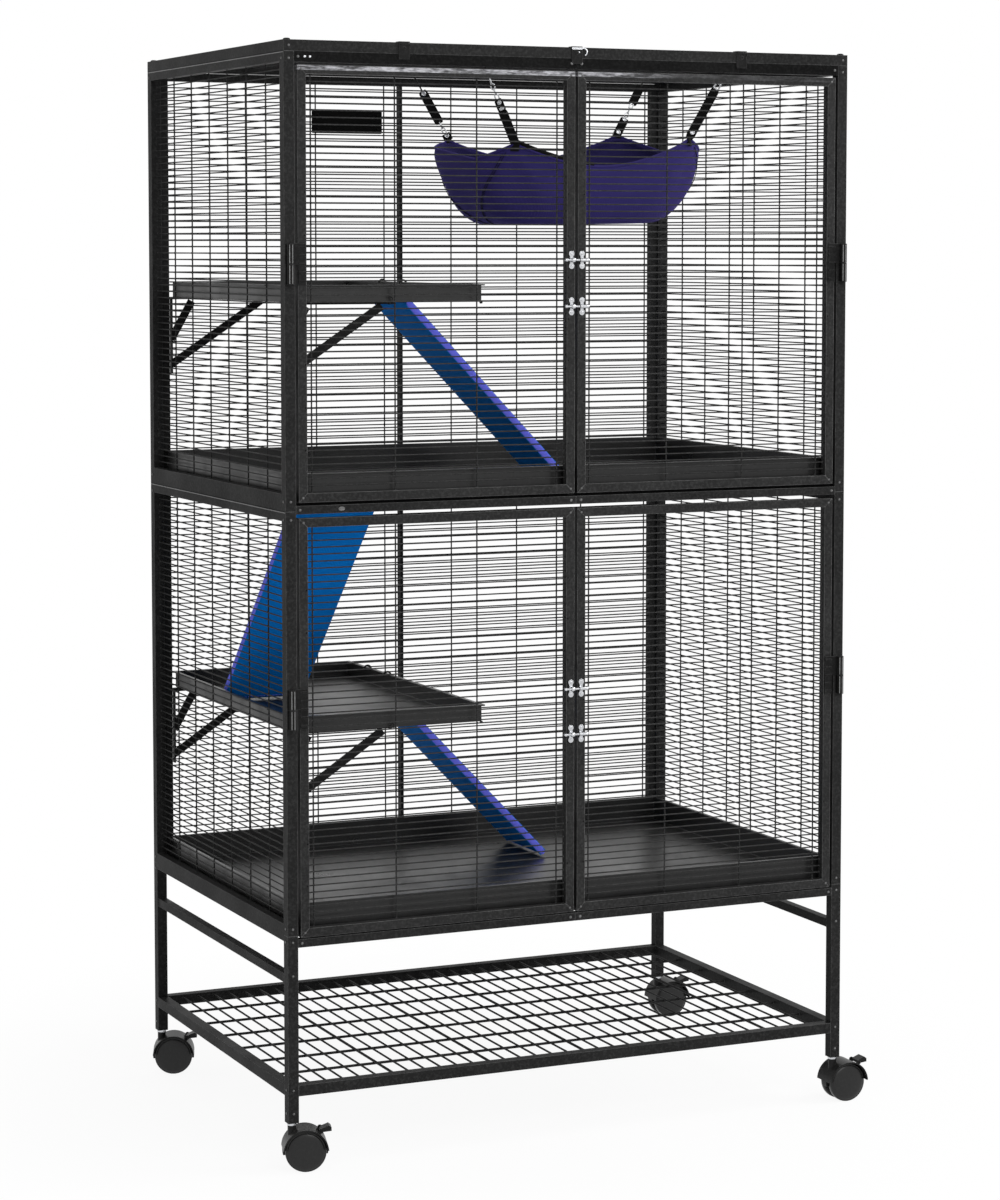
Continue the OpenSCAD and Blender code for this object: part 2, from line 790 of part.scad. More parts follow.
// How far the straps draw the rim's corners up, and out as a share
corner_lift = 26;
corner_out = 0.1;
fold_depth = 0.02;
fold_count = 10;

// Radius of a square of half side 1 with rounded corners, at angle t
function rounded(t) =
    pow(pow(abs(cos(t)), hammock_square) + pow(abs(sin(t)), hammock_square), -1 / hammock_square);

// The body in horizontal rings from the middle of the underside out and up to the rim,
// as shares of the half sides and of the depth
outer_rings = [[0.35, 0], [0.66, 0.005], [0.77, 0.05], [0.88, 0.2], [0.97, 0.45],
    [1, 0.7], [0.96, 0.87], [0.88, 1]];

// Share of the corners' pull at angle t
function corner(t) = pow(abs(sin(2 * t)), 6);

// A few soft folds run down from the rim
function ring_point(t, ring, a, b) =
    let (up = ring[1],
        r = ring[0] * rounded(t)
            * (1 + fold_depth * up * cos(fold_count * t) + corner_out * up * up * corner(t)))
    [a * r * cos(t), b * r * sin(t), up * hammock_deep + up * up * corner_lift * corner(t)];

outer_points = [for (ring = outer_rings) for (i = [0:ring_steps - 1])
    ring_point(360 * i / ring_steps, ring, hammock_a, hammock_b)];
inner_points = [for (j = [len(outer_rings) - 1:-1:0]) for (i = [0:ring_steps - 1])
    let (p = ring_point(360 * i / ring_steps, outer_rings[j], hammock_a - hammock_wall,
        hammock_b - hammock_wall))
    [p[0], p[1], p[2] + (j == len(outer_rings) - 1 ? 0 : hammock_wall)]];

module hammock() color(cloth_purple)
    translate([hammock_x, 0, hammock_z]) {
        body = concat(outer_points, inner_points);
        rows = 2 * len(outer_rings);
        first = len(body);
        points = concat(body, [[0, 0, 0], [0, 0, hammock_wall]]);
        sides = [for (j = [0:rows - 2]) for (i = [0:ring_steps - 1])
            let (a = j * ring_steps + i, b = j * ring_steps + (i + 1) % ring_steps)
            each [[a, b + ring_steps, b], [a, a + ring_steps, b + ring_steps]]];
        under = [for (i = [0:ring_steps - 1]) [first, i, (i + 1) % ring_steps]];
        last = (rows - 1) * ring_steps;
        over = [for (i = [0:ring_steps - 1]) [first + 1, last + (i + 1) % ring_steps, last + i]];
        polyhedron(points = points, faces = concat(sides, under, over));
    }

// The corners of the rim, and the places of the rings on the lid's wires
rim_corner = ring_point(45, outer_rings[len(outer_rings) - 1], hammock_a, hammock_b);
seam_gap = 0.3;
strap_lean_x = 38;
strap_lean_y = 30;
lid_wire_z = lid_z + lid_h - lid_setback;
lid_field = cage_d - 2 * lid_rail;
lid_step = lid_field / round(lid_field / wire_pitch);
hook_r = 7;
hook_d = 2.4;
// Room between a hook's ring and the wire it hangs on
hook_seat = 0.6;
strap_t = 1.6;
strap_share = 0.8;
strap_end = 1;
buckle_h = 5;
buckle_t = 4;
buckle_wing = 2;

function corner_at(sx, sy) = [hammock_x + sx * rim_corner[0], sy * rim_corner[1],
    hammock_z + rim_corner[2] + seam_gap];
// The lid's wire nearest to y
function on_wire(y) = round((y + lid_field / 2) / lid_step) * lid_step - lid_field / 2;
function ring_at(sx, sy) = [hammock_x + sx * (rim_corner[0] + strap_lean_x),
    on_wire(sy * (rim_corner[1] + strap_lean_y)),
    lid_wire_z - hook_r + (hook_d + wire_d) / 2 + hook_seat];
// Where the webbing ends on the line from a corner to the foot of its ring
function strap_top(sx, sy) = let (low = corner_at(sx, sy))
    low + (ring_at(sx, sy) - [0, 0, hook_r] - low) * strap_share;

// Flat webbing from each corner of the hammock towards its hook
module hammock_straps() color(tray_black)
    for (sx = [-1, 1])
        for (sy = [-1, 1])
            hull()
                for (end = [corner_at(sx, sy), strap_top(sx, sy)])
                    translate(end + [-strap_w / 2, -strap_t / 2, 0])
                        cube([strap_w, strap_t, strap_end]);

// A buckle on the webbing's end and a wire from it to a ring over the lid's mesh
module hammock_hooks() color(zinc)
    for (sx = [-1, 1])
        for (sy = [-1, 1]) {
            high = ring_at(sx, sy);
            low = strap_top(sx, sy) + [0, 0, strap_end + rest];
            heart = low + [0, 0, buckle_h / 2];
            reach = high - [0, 0, hook_r] - heart;
            translate(low - [strap_w / 2 + buckle_wing, buckle_t / 2, 0])
                cube([strap_w + 2 * buckle_wing, buckle_t, buckle_h]);
            translate(heart)
                rotate([0, acos(reach[2] / norm(reach)), atan2(reach[1], reach[0])])
                    cylinder(d = hook_d, h = norm(reach), $fn = round_sides);
            translate(high)
                rotate([0, 90, 0])
                    rotate_extrude($fn = fine)
                        translate([hook_r, 0])
                            circle(d = hook_d, $fn = round_sides);
        }

// ---------------------------------------------------------------- casters

corner_x = half_w - post_w / 2;
corner_y = half_d - post_w / 2;
// Turn of the casters about their stems
caster_turn = [16, 0, 20, 0];
stem_r = 4;
stem_clear = 0.06;
hub_r = 6.4;
web_half = 6;
wheel_gap = 1;
axle_r = 3;
axle_clear = 0.06;
hood_wall = 2;
hood_gap = 1;
hood_r = wheel_r + hood_gap + hood_wall;
hood_half = web_half + wheel_gap + wheel_w + 2;
// Depth to which the hood's round blank is cut away under the floor level
hood_floor = hood_gap + hood_wall + 1;
hub_top = leg_foot_z - 4;
stem_foot = hub_top - 20;
// The casters stand under the corners: front left, front right, back left, back right
caster_places = [[-corner_x, -corner_y], [corner_x, -corner_y],
    [-corner_x, corner_y], [corner_x, corner_y]];

// Puts a caster modelled with its stem on the Z axis and its axle towards +X in place
module at_caster(i)
    translate([caster_places[i][0], caster_places[i][1], 0])
        rotate([0, 0, -caster_turn[i]])
            children();

module caster_stems() color(zinc)
    for (i = [0:3])
        at_caster(i) {
            translate([0, 0, stem_foot])
                cylinder(r = stem_r, h = leg_foot_z - stem_foot, $fn = fine);
            translate([0, 0, hub_top + 0.6])
                cylinder(r = 7.2, h = leg_foot_z - hub_top - 0.6, $fn = fine);
        }

brake_a = 52;
brake_pin_r = 1.5;
brake_out = hood_r + 3;
brake_ear = 2.5;
brake_half = 9;

module brake_pivot()
    translate([caster_trail + brake_out * cos(brake_a), 0, wheel_r + brake_out * sin(brake_a)])
        children();

// Arched cover over both wheels with a web between them, a hub for the stem and
// two ears for the brake
module caster_hood(i) color(tray_black)
    at_caster(i)
        difference() {
            union() {
                translate([caster_trail, hood_half, wheel_r])
                    rotate([90, 0, 0])
                        cylinder(r = hood_r, h = 2 * hood_half, $fn = fine);
                translate([0, 0, stem_foot - 3])
                    cylinder(r = hub_r, h = hub_top - stem_foot + 3, $fn = fine);
                brake_pivot()
                    for (s = [-1, 1])
                        translate([0, s * (brake_half + brake_ear / 2 + 0.3) + brake_ear / 2, 0])
                            rotate([90, 0, 0])
                                cylinder(r = 3.6, h = brake_ear, $fn = fine);
            }
            // Wheel wells on both sides of the web
            for (s = [0, 1])
                mirror([0, s, 0])
                    translate([caster_trail, web_half, wheel_r])
                        rotate([-90, 0, 0])
                            cylinder(r = wheel_r + hood_gap, h = hood_half, $fn = fine);
            // The cover ends above the axle, and the web a little lower
            for (s = [0, 1])
                mirror([0, s, 0])
                    translate([-wheel_r * 2, web_half - 0.01, -hood_floor])
                        cube([wheel_r * 5, hood_half, hood_floor + wheel_r + 2]);
            translate([-wheel_r * 2, -web_half - 1, -hood_floor])
                cube([wheel_r * 5, 2 * web_half + 2, hood_floor + wheel_r - 6]);
            translate([0, 0, stem_foot - 1])
                cylinder(r = stem_r + stem_clear, h = leg_foot_z, $fn = fine);
            translate([caster_trail, web_half + 1, wheel_r])
                rotate([90, 0, 0])
                    cylinder(r = axle_r + axle_clear, h = 2 * web_half + 2, $fn = fine);
            brake_pivot()
                translate([0, brake_half + brake_ear + 1, 0])
                    rotate([90, 0, 0])
                        cylinder(r = brake_pin_r + 0.06, h = 2 * (brake_half + brake_ear + 1), $fn = fine);
        }

// Two wheels with domed faces on one axle
module caster_wheels(i) color(tray_black)
    at_caster(i)
        translate([caster_trail, 0, wheel_r]) {
            rotate([90, 0, 0])
                translate([0, 0, -web_half - wheel_gap - 1])
                    cylinder(r = axle_r, h = 2 * (web_half + wheel_gap + 1), $fn = fine);
            for (s = [0, 1])
                mirror([0, s, 0])
                    translate([0, web_half + wheel_gap, 0])
                        rotate([-90, 0, 0])
                            rotate_extrude($fn = fine)
                                polygon([[0, 0], [wheel_r - 1.5, 0], [wheel_r, 1.5],
                                    [wheel_r, wheel_w - 7], [wheel_r - 2, wheel_w - 4],
                                    [wheel_r - 7, wheel_w - 1.7], [wheel_r - 14, wheel_w - 0.4],
                                    [wheel_r - 21, wheel_w], [0, wheel_w]]);
        }

// Fan-shaped brake tab on a pin between the hood's ears
module caster_brake(i) color(tray_black)
    at_caster(i)
        brake_pivot() {
            translate([0, brake_half + brake_ear, 0])
                rotate([90, 0, 0])
                    cylinder(r = brake_pin_r, h = 2 * (brake_half + brake_ear), $fn = fine);
            rotate([90, 0, 0])
                translate([0, 0, -brake_half])
                    linear_extrude(2 * brake_half)
                        rotate(12)
                            polygon([[-2.4, 0], [0, -2.4], [15, -4], [16, 1], [13, 4.5], [0, 2.4]]);
        }

module front_left_hood() caster_hood(0);
module front_right_hood() caster_hood(1);
module back_left_hood() caster_hood(2);
module back_right_hood() caster_hood(3);
module front_left_wheels() caster_wheels(0);
module front_right_wheels() caster_wheels(1);
module back_left_wheels() caster_wheels(2);
module back_right_wheels() caster_wheels(3);
module front_left_brake() caster_brake(0);
module front_right_brake() caster_brake(1);
module back_left_brake() caster_brake(2);
module back_right_brake() caster_brake(3);

left_legs();
right_legs();
storage_shelf();
lower_left_panel();
lower_right_panel();
lower_back_panel();
lower_floor_grid();
lower_pan();
upper_left_panel();
upper_right_panel();
upper_back_panel();
upper_floor_grid();
upper_pan();
lid();
front_top_rail();
front_mid_rail();
front_bottom_rail();
lid_clips();
post_caps();
upper_left_door();
upper_right_door();
lower_left_door();
lower_right_door();
post_hinge_leaves();
upper_left_hinge_leaf();
upper_right_hinge_leaf();
lower_left_hinge_leaf();
lower_right_hinge_leaf();
upper_latch_guides();
upper_latch_keepers();
lower_latch_guides();
lower_latch_keepers();
upper_top_bolt();
upper_bottom_bolt();
lower_top_bolt();
lower_bottom_bolt();
caster_stems();
front_left_hood();
front_right_hood();
back_left_hood();
back_right_hood();
front_left_wheels();
front_right_wheels();
back_left_wheels();
back_right_wheels();
front_left_brake();
front_right_brake();
back_left_brake();
back_right_brake();
upper_shelf();
lower_shelf();
shelf_braces();
upper_ramp();
middle_ramp();
lower_ramp();
hammock();
hammock_straps();
hammock_hooks();
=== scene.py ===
import math

import bmesh
import bpy
from mathutils import Matrix, Vector


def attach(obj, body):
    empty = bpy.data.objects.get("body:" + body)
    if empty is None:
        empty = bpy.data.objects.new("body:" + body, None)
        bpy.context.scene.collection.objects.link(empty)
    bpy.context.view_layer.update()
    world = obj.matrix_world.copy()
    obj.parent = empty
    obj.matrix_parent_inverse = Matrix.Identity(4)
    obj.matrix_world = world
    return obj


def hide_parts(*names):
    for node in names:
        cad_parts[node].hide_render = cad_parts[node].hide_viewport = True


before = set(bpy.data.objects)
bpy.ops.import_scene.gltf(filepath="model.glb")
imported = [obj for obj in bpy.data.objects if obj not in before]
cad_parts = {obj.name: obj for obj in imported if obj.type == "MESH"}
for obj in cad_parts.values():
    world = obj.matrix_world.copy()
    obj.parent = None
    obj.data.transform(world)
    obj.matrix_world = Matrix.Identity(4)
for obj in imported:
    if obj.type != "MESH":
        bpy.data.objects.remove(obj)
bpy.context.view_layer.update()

# Everything below is measured in millimetres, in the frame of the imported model:
# X right, Y back, Z up, from the middle of the footprint on the floor.
MM = 0.001

HALF_W, HALF_D = 457.5, 305.0
POST = 16.0
RAIL = 13.0
INNER_X, INNER_Y = HALF_W - POST, HALF_D - POST
# Levels where the lower cage, the upper cage and the lid begin, and the lid's height
LOWER_Z, UPPER_Z, LID_Z, LID_H = 343.0, 954.0, 1604.0, 16.0
# Undersides of the rails across the front
BOTTOM_RAIL_Z, MID_RAIL_Z, TOP_RAIL_Z = 326.0, 950.0, 1589.0
# A door's width, its distance from the cage's side, and the gap between the two of a pair
DOOR_W, DOOR_SIDE, DOOR_GAP = 434.5, 20.5, 5.0
# Lower edge and height of each storey's doors
DOORS = {"lower": (340.0, 604.0), "upper": (966.5, 619.0)}
# Thickness of a mesh's wires, the mesh's depth behind the frame's face, and its rows' pitch
WIRE, SETBACK, ROW_PITCH = 2.0, 9.5, 10.0


# ------------------------------------------------------------------ camera

def place_camera():
    data = bpy.data.cameras.new("photo_camera")
    data.lens = 94.4
    data.sensor_width = 36.0
    data.shift_y = -0.10
    camera = bpy.data.objects.new("photo_camera", data)
    camera.location = (-2.0203, -4.4788, 1.3318)
    camera.rotation_euler = (math.radians(85.73), 0.0, math.radians(-24.44))
    bpy.context.scene.collection.objects.link(camera)
    bpy.context.scene.camera = camera


place_camera()


# ------------------------------------------------------------------ mesh helpers

class Shape:
    """Points and faces of one piece, in millimetres, with a material number for each face."""

    def __init__(self):
        self.points, self.faces, self.slots = [], [], []

    def add(self, points, faces, slot=0):
        start = len(self.points)
        self.points += [Vector(p) for p in points]
        self.faces += [[start + i for i in f] for f in faces]
        self.slots += [slot] * len(faces)
        return self

    def moved(self, matrix):
        self.points = [matrix @ p for p in self.points]
        return self

    def piece(self, name, body, materials, slot=None, replaces=(), crease=40):
        mesh = bpy.data.meshes.new(name)
        mesh.from_pydata([p * MM for p in self.points], [], self.faces)
        for material in materials:
            mesh.materials.append(material)
        mesh.polygons.foreach_set("material_index", self.slots)
        work = bmesh.new()
        work.from_mesh(mesh)
        bmesh.ops.recalc_face_normals(work, faces=work.faces)
        work.to_mesh(mesh)
        work.free()
        mesh.shade_smooth()
        mesh.set_sharp_from_angle(angle=math.radians(crease))
        made = bpy.data.objects.new(name, mesh)
        bpy.context.scene.collection.objects.link(made)
        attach(made, body)
        if replaces:
            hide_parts(*replaces)
        return made


def frame_at(origin, along):
    """A matrix whose Z axis points along a direction."""
    z = Vector(along).normalized()
    x = Vector((0, 0, 1)).cross(z)
    if x.length < 1e-4:
        x = Vector((1, 0, 0)).cross(z)
    x.normalize()
    y = z.cross(x)
    m = Matrix((x, y, z)).transposed().to_4x4()
    m.translation = Vector(origin)
    return m


def lathe(shape, profile, matrix, sides=24, slot=0):
    """Turns (radius, height) pairs round the matrix's Z axis."""
    points, rings = [], []
    for r, h in profile:
        if r < 1e-6:
            rings.append([len(points)])
            points.append(matrix @ Vector((0, 0, h)))
        else:
            rings.append([len(points) + i for i in range(sides)])
            points += [matrix @ Vector((r * math.cos(a), r * math.sin(a), h))
                       for a in (2 * math.pi * i / sides for i in range(sides))]
    faces = []
    for low, high in zip(rings, rings[1:]):
        for i in range(sides):
            j = (i + 1) % sides
            if len(low) == 1 and len(high) > 1:
                faces.append([low[0], high[j], high[i]])
            elif len(high) == 1 and len(low) > 1:
                faces.append([low[i], low[j], high[0]])
            elif len(low) > 1:
                faces.append([low[i], low[j], high[j], high[i]])
    return shape.add(points, faces, slot)


def tube(shape, path, radius, sides=12, closed=False, slot=0, flat=1.0, up=(0, 0, 1)):
    """A round or flattened rod along a path. flat is its thickness as a share of its width."""
    path = [Vector(p) for p in path]
    n = len(path)
    points, frames = [], []
    side = None
    for i, p in enumerate(path):
        before = path[i - 1] if (i or closed) else p
        after = path[(i + 1) % n] if (i < n - 1 or closed) else p
        way = (after - before).normalized()
        if side is None:
            side = Vector(up).cross(way)
            if side.length < 1e-3:
                side = Vector((1, 0, 0)).cross(way)
        side = (side - way * side.dot(way)).normalized()
        frames.append((p, side.copy(), way.cross(side)))
    for p, s, u in frames:
        points += [p + (s * math.cos(a) + u * (math.sin(a) * flat)) * radius
                   for a in (2 * math.pi * k / sides for k in range(sides))]
    faces = []
    for i in range(n if closed else n - 1):
        a, b = i * sides, ((i + 1) % n) * sides
        for k in range(sides):
            j = (k + 1) % sides
            faces.append([a + k, a + j, b + j, b + k])
    if not closed:
        faces.append(list(range(sides))[::-1])
        faces.append([(n - 1) * sides + k for k in range(sides)])
    return shape.add(points, faces, slot)


def rounded_plate(shape, width, height, thick, radius, matrix, edge=0.4, slot=0):
    """A plate in the matrix's XY plane with round corners and softened front edges."""
    outline, steps = [], 5
    for cx, cy, start in ((1, 1, 0), (-1, 1, 90), (-1, -1, 180), (1, -1, 270)):
        for k in range(steps + 1):
            a = math.radians(start + 90 * k / steps)
            outline.append((cx * (width / 2 - radius) + radius * math.cos(a),
                            cy * (height / 2 - radius) + radius * math.sin(a)))
    n = len(outline)
    rings = [(0, 1.0), (thick - edge, 1.0), (thick, 1.0 - 2 * edge / max(width, height))]
    points = [matrix @ Vector((x * k, y * k, h)) for h, k in rings for x, y in outline]
    faces = [[r * n + i, r * n + (i + 1) % n, (r + 1) * n + (i + 1) % n, (r + 1) * n + i]
             for r in range(len(rings) - 1) for i in range(n)]
    faces.append(list(range(n))[::-1])
    faces.append([(len(rings) - 1) * n + i for i in range(n)])
    return shape.add(points, faces, slot)


def ring_path(matrix, radius, steps=24, start=0.0, sweep=360.0):
    """Points on a circle, or on part of it, round the matrix's Z axis."""
    count = steps if sweep >= 360 else steps + 1
    return [matrix @ Vector((radius * math.cos(a), radius * math.sin(a), 0))
            for a in (math.radians(start + sweep * k / steps) for k in range(count))]


# ------------------------------------------------------------------ shared effects

def effect(name, inputs, outputs):
    """An empty shader node group with named sockets, and the ends of its wiring."""
    group = bpy.data.node_groups.new(name, "ShaderNodeTree")
    kinds = {"color": "NodeSocketColor", "value": "NodeSocketFloat", "vector": "NodeSocketVector"}
    for label, kind, value in inputs:
        socket = group.interface.new_socket(label, in_out="INPUT", socket_type=kinds[kind])
        socket.default_value = value
    for label, kind in outputs:
        group.interface.new_socket(label, in_out="OUTPUT", socket_type=kinds[kind])
    given = group.nodes.new("NodeGroupInput")
    result = group.nodes.new("NodeGroupOutput")
    return group, given.outputs, result.inputs


class Wiring:
    """Adds nodes to a tree and joins their sockets."""

    def __init__(self, tree):
        self.tree = tree

    def node(self, kind, values=(), **settings):
        made = self.tree.nodes.new(kind)
        for key, value in settings.items():
            setattr(made, key, value)
        for key, value in dict(values).items():
            self.feed(made.inputs[key], value)
        return made

    def feed(self, socket, value):
        if isinstance(value, bpy.types.NodeSocket):
            self.tree.links.new(value, socket)
        else:
            socket.default_value = value

    def noise(self, where, scale, detail=3.0, rough=0.5):
        return self.node("ShaderNodeTexNoise",
                         {"Vector": where, "Scale": scale, "Detail": detail, "Roughness": rough})

    def mix(self, share, a, b):
        made = self.node("ShaderNodeMix", data_type="RGBA")
        for socket, value in ((made.inputs[0], share), (made.inputs[6], a), (made.inputs[7], b)):
            self.feed(socket, value)
        return made.outputs[2]

    def math(self, operation, a, b=0.0, clamp=False):
        made = self.node("ShaderNodeMath", operation=operation, use_clamp=clamp)
        self.feed(made.inputs[0], a)
        self.feed(made.inputs[1], b)
        return made.outputs[0]

    def spread(self, value, low, high, to_low, to_high):
        made = self.node("ShaderNodeMapRange", {
            "Value": value, "From Min": low, "From Max": high,
            "To Min": to_low, "To Max": to_high})
        return made.outputs["Result"]


def make_coat_grain():
    """The fine orange peel of a baked powder coat, with small mottles and faint cloudiness."""
    group, given, result = effect(
        "coat_grain",
        [("Paint", "color", (0.02, 0.02, 0.02, 1)), ("Fleck", "color", (0.05, 0.05, 0.05, 1)),
         ("Grain Size", "value", 900.0), ("Cloud Size", "value", 9.0),
         ("Fleck Share", "value", 0.35), ("Mottle Size", "value", 240.0),
         ("Gloss Low", "value", 0.3), ("Gloss High", "value", 0.5)],
        [("Color", "color"), ("Roughness", "value"), ("Height", "value")])
    w = Wiring(group)
    where = w.node("ShaderNodeTexCoord").outputs["Object"]
    grain = w.noise(where, given["Grain Size"], 2.0, 0.6).outputs["Fac"]
    cloud = w.noise(where, given["Cloud Size"], 5.0, 0.6).outputs["Fac"]
    mottle = w.noise(where, given["Mottle Size"], 3.0, 0.7).outputs["Fac"]
    fleck = w.math("ADD", w.math("MULTIPLY", w.spread(grain, 0.5, 0.72, 0.0, 1.0),
                                 given["Fleck Share"]), w.spread(mottle, 0.46, 0.66, 0.0, 0.7))
    w.feed(result["Color"], w.mix(w.math("ADD", fleck, w.spread(cloud, 0.35, 0.7, 0.0, 0.25)),
                                  given["Paint"], given["Fleck"]))
    w.feed(result["Roughness"], w.node("ShaderNodeMapRange", {
        "Value": cloud, "From Min": 0.3, "From Max": 0.7,
        "To Min": given["Gloss Low"], "To Max": given["Gloss High"]}).outputs["Result"])
    w.feed(result["Height"], w.math("ADD", grain, w.math("MULTIPLY", cloud, 0.3)))
    return group


def make_edge_wear_and_glint():
    """Edges that catch the light: rounded normals, and paint along the corners made paler both by
    wear and as a painted highlight.
    """
    group, given, result = effect(
        "edge_wear_and_painted_glint",
        [("Color", "color", (0.02, 0.02, 0.02, 1)), ("Worn And Lit Edge", "color", (0.2, 0.2, 0.2, 1)),
         ("Width", "value", 0.001), ("Amount", "value", 0.6)],
        [("Color", "color"), ("Normal", "vector")])
    w = Wiring(group)
    bevel = w.node("ShaderNodeBevel", {"Radius": given["Width"]}, samples=6)
    facing = w.node("ShaderNodeNewGeometry").outputs["Normal"]
    dot = w.node("ShaderNodeVectorMath", operation="DOT_PRODUCT")
    w.feed(dot.inputs[0], bevel.outputs["Normal"])
    w.feed(dot.inputs[1], facing)
    turned = w.spread(dot.outputs["Value"], 0.995, 0.86, 0.0, 1.0)
    where = w.node("ShaderNodeTexCoord").outputs["Object"]
    patchy = w.spread(w.noise(where, 60.0, 4.0, 0.65).outputs["Fac"], 0.35, 0.6, 0.35, 1.0)
    # Edge mask for the paler colour: partly wear, partly a painted highlight
    mask = w.math("MULTIPLY", w.math("MULTIPLY", turned, patchy), given["Amount"])
    w.feed(result["Color"], w.mix(mask, given["Color"], given["Worn And Lit Edge"]))
    w.feed(result["Normal"], bevel.outputs["Normal"])
    return group


def make_dust_film():
    """A thin film of dust, thicker on what faces up, and small scuffs."""
    group, given, result = effect(
        "dust_film",
        [("Color", "color", (0.02, 0.02, 0.02, 1)), ("Dust", "color", (0.3, 0.29, 0.27, 1)),
         ("Amount", "value", 0.1), ("Patch Size", "value", 14.0),
         ("Roughness", "value", 0.4)],
        [("Color", "color"), ("Roughness", "value")])
    w = Wiring(group)
    where = w.node("ShaderNodeTexCoord").outputs["Object"]
    up = w.node("ShaderNodeSeparateXYZ", {
        "Vector": w.node("ShaderNodeNewGeometry").outputs["Normal"]}).outputs["Z"]
    patch = w.noise(where, given["Patch Size"], 6.0, 0.65).outputs["Fac"]
    scuff = w.noise(where, 180.0, 3.0, 0.7).outputs["Fac"]
    lies = w.spread(up, 0.2, 1.0, 0.25, 1.0)
    share = w.math("MULTIPLY", w.math("MULTIPLY", w.spread(patch, 0.38, 0.72, 0.0, 1.0), lies),
                   given["Amount"])
    mark = w.math("MULTIPLY", w.spread(scuff, 0.66, 0.74, 0.0, 0.5), given["Amount"])
    total = w.math("ADD", share, mark, clamp=True)
    w.feed(result["Color"], w.mix(total, given["Color"], given["Dust"]))
    w.feed(result["Roughness"], w.math("ADD", given["Roughness"],
                                       w.math("MULTIPLY", total, 0.5), clamp=True))
    return group


def make_rail_glare():
    """Painted highlight: pale glare streaks painted along the top rail of a door, which may fade
    from its left to its right.
    """
    group, given, result = effect(
        "rail_glare",
        [("Color", "color", (0.02, 0.02, 0.02, 1)), ("Painted Glare", "color", (0.5, 0.5, 0.53, 1)),
         ("From", "value", 0.988), ("To", "value", 0.9985),
         ("Fade From", "value", 2.0), ("Fade To", "value", 3.0)],
        [("Color", "color")])
    w = Wiring(group)
    coords = w.node("ShaderNodeTexCoord")
    share = w.node("ShaderNodeSeparateXYZ", {"Vector": coords.outputs["Generated"]})
    level = share.outputs["Z"]
    fade = w.node("ShaderNodeMapRange", {"Value": share.outputs["X"],
                                         "From Min": given["Fade From"],
                                         "From Max": given["Fade To"],
                                         "To Min": 1.0, "To Max": 0.08}).outputs["Result"]
    facing = w.node("ShaderNodeSeparateXYZ", {
        "Vector": w.node("ShaderNodeNewGeometry").outputs["Normal"]}).outputs["Z"]
    upright = w.spread(w.math("ABSOLUTE", facing), 0.3, 0.6, 1.0, 0.0)
    band = w.math("MULTIPLY", w.math("GREATER_THAN", level, given["From"]),
                  w.math("LESS_THAN", level, given["To"]))
    stretched = w.node("ShaderNodeVectorMath", {0: coords.outputs["Object"]},
                       operation="MULTIPLY")
    stretched.inputs[1].default_value = (1.0, 1.0, 6.0)
    broad = w.noise(stretched.outputs["Vector"], 28.0, 6.0, 0.7).outputs["Fac"]
    fine = w.noise(stretched.outputs["Vector"], 130.0, 3.0, 0.6).outputs["Fac"]
    glare_streaks = w.math("MULTIPLY", w.spread(broad, 0.42, 0.58, 0.1, 0.9),
                     w.spread(fine, 0.34, 0.55, 0.4, 1.0))
    mask = w.math("MULTIPLY", w.math("MULTIPLY", band, upright),
                  w.math("MULTIPLY", glare_streaks, fade))
    w.feed(result["Color"], w.mix(mask, given["Color"], given["Painted Glare"]))
    return group


def make_cloth_weave():
    """Crossed threads, painted darker in the gaps between them as painted shade, with soft
    blotches and a little fuzz.
    """
    group, given, result = effect(
        "cloth_weave",
        [("Yarn", "color", (0.1, 0.1, 0.3, 1)), ("Gap Shade And Blotch", "color", (0.03, 0.03, 0.1, 1)),
         ("Threads", "value", 220.0), ("Blotch Size", "value", 12.0), ("Blotch", "value", 0.4),
         ("Thread Gap Shade", "value", 0.5)],
        [("Color", "color"), ("Roughness", "value"), ("Height", "value")])
    w = Wiring(group)
    where = w.node("ShaderNodeTexCoord").outputs["Object"]
    across = w.node("ShaderNodeTexWave", {"Vector": where, "Scale": given["Threads"],
                                          "Distortion": 0.6, "Detail": 1.0},
                    wave_type="BANDS", bands_direction="DIAGONAL")
    turned = w.node("ShaderNodeVectorMath", operation="MULTIPLY")
    w.feed(turned.inputs[0], where)
    turned.inputs[1].default_value = (1.0, -1.0, -0.8)
    along = w.node("ShaderNodeTexWave", {"Vector": turned.outputs["Vector"],
                                         "Scale": given["Threads"], "Distortion": 0.6,
                                         "Detail": 1.0},
                   wave_type="BANDS", bands_direction="DIAGONAL")
    threads = w.math("MULTIPLY", across.outputs["Fac"], along.outputs["Fac"])
    blotch = w.noise(where, given["Blotch Size"], 5.0, 0.6).outputs["Fac"]
    fuzz = w.noise(where, 1400.0, 2.0, 0.6).outputs["Fac"]
    # Painted shade: the gaps between the threads are painted darker
    gap_shade = w.math("MULTIPLY", w.spread(threads, 0.0, 0.6, 1.0, 0.0), given["Thread Gap Shade"])
    cloudy = w.math("MULTIPLY", w.spread(blotch, 0.35, 0.68, 0.0, 1.0), given["Blotch"])
    w.feed(result["Color"], w.mix(w.math("ADD", gap_shade, cloudy, clamp=True),
                                  given["Yarn"], given["Gap Shade And Blotch"]))
    w.feed(result["Roughness"], w.spread(fuzz, 0.3, 0.7, 0.7, 0.95))
    w.feed(result["Height"], w.math("ADD", threads, w.math("MULTIPLY", fuzz, 0.6)))
    return group


COAT_GRAIN = make_coat_grain()
EDGE_WEAR_AND_GLINT = make_edge_wear_and_glint()
DUST_FILM = make_dust_film()
RAIL_GLARE = make_rail_glare()
CLOTH_WEAVE = make_cloth_weave()


# ------------------------------------------------------------------ finishes

def start_finish(name):
    material = bpy.data.materials.new(name)
    material.use_nodes = True
    return material, Wiring(material.node_tree), material.node_tree.nodes["Principled BSDF"]


def grey(value):
    return (value, value, value, 1.0)


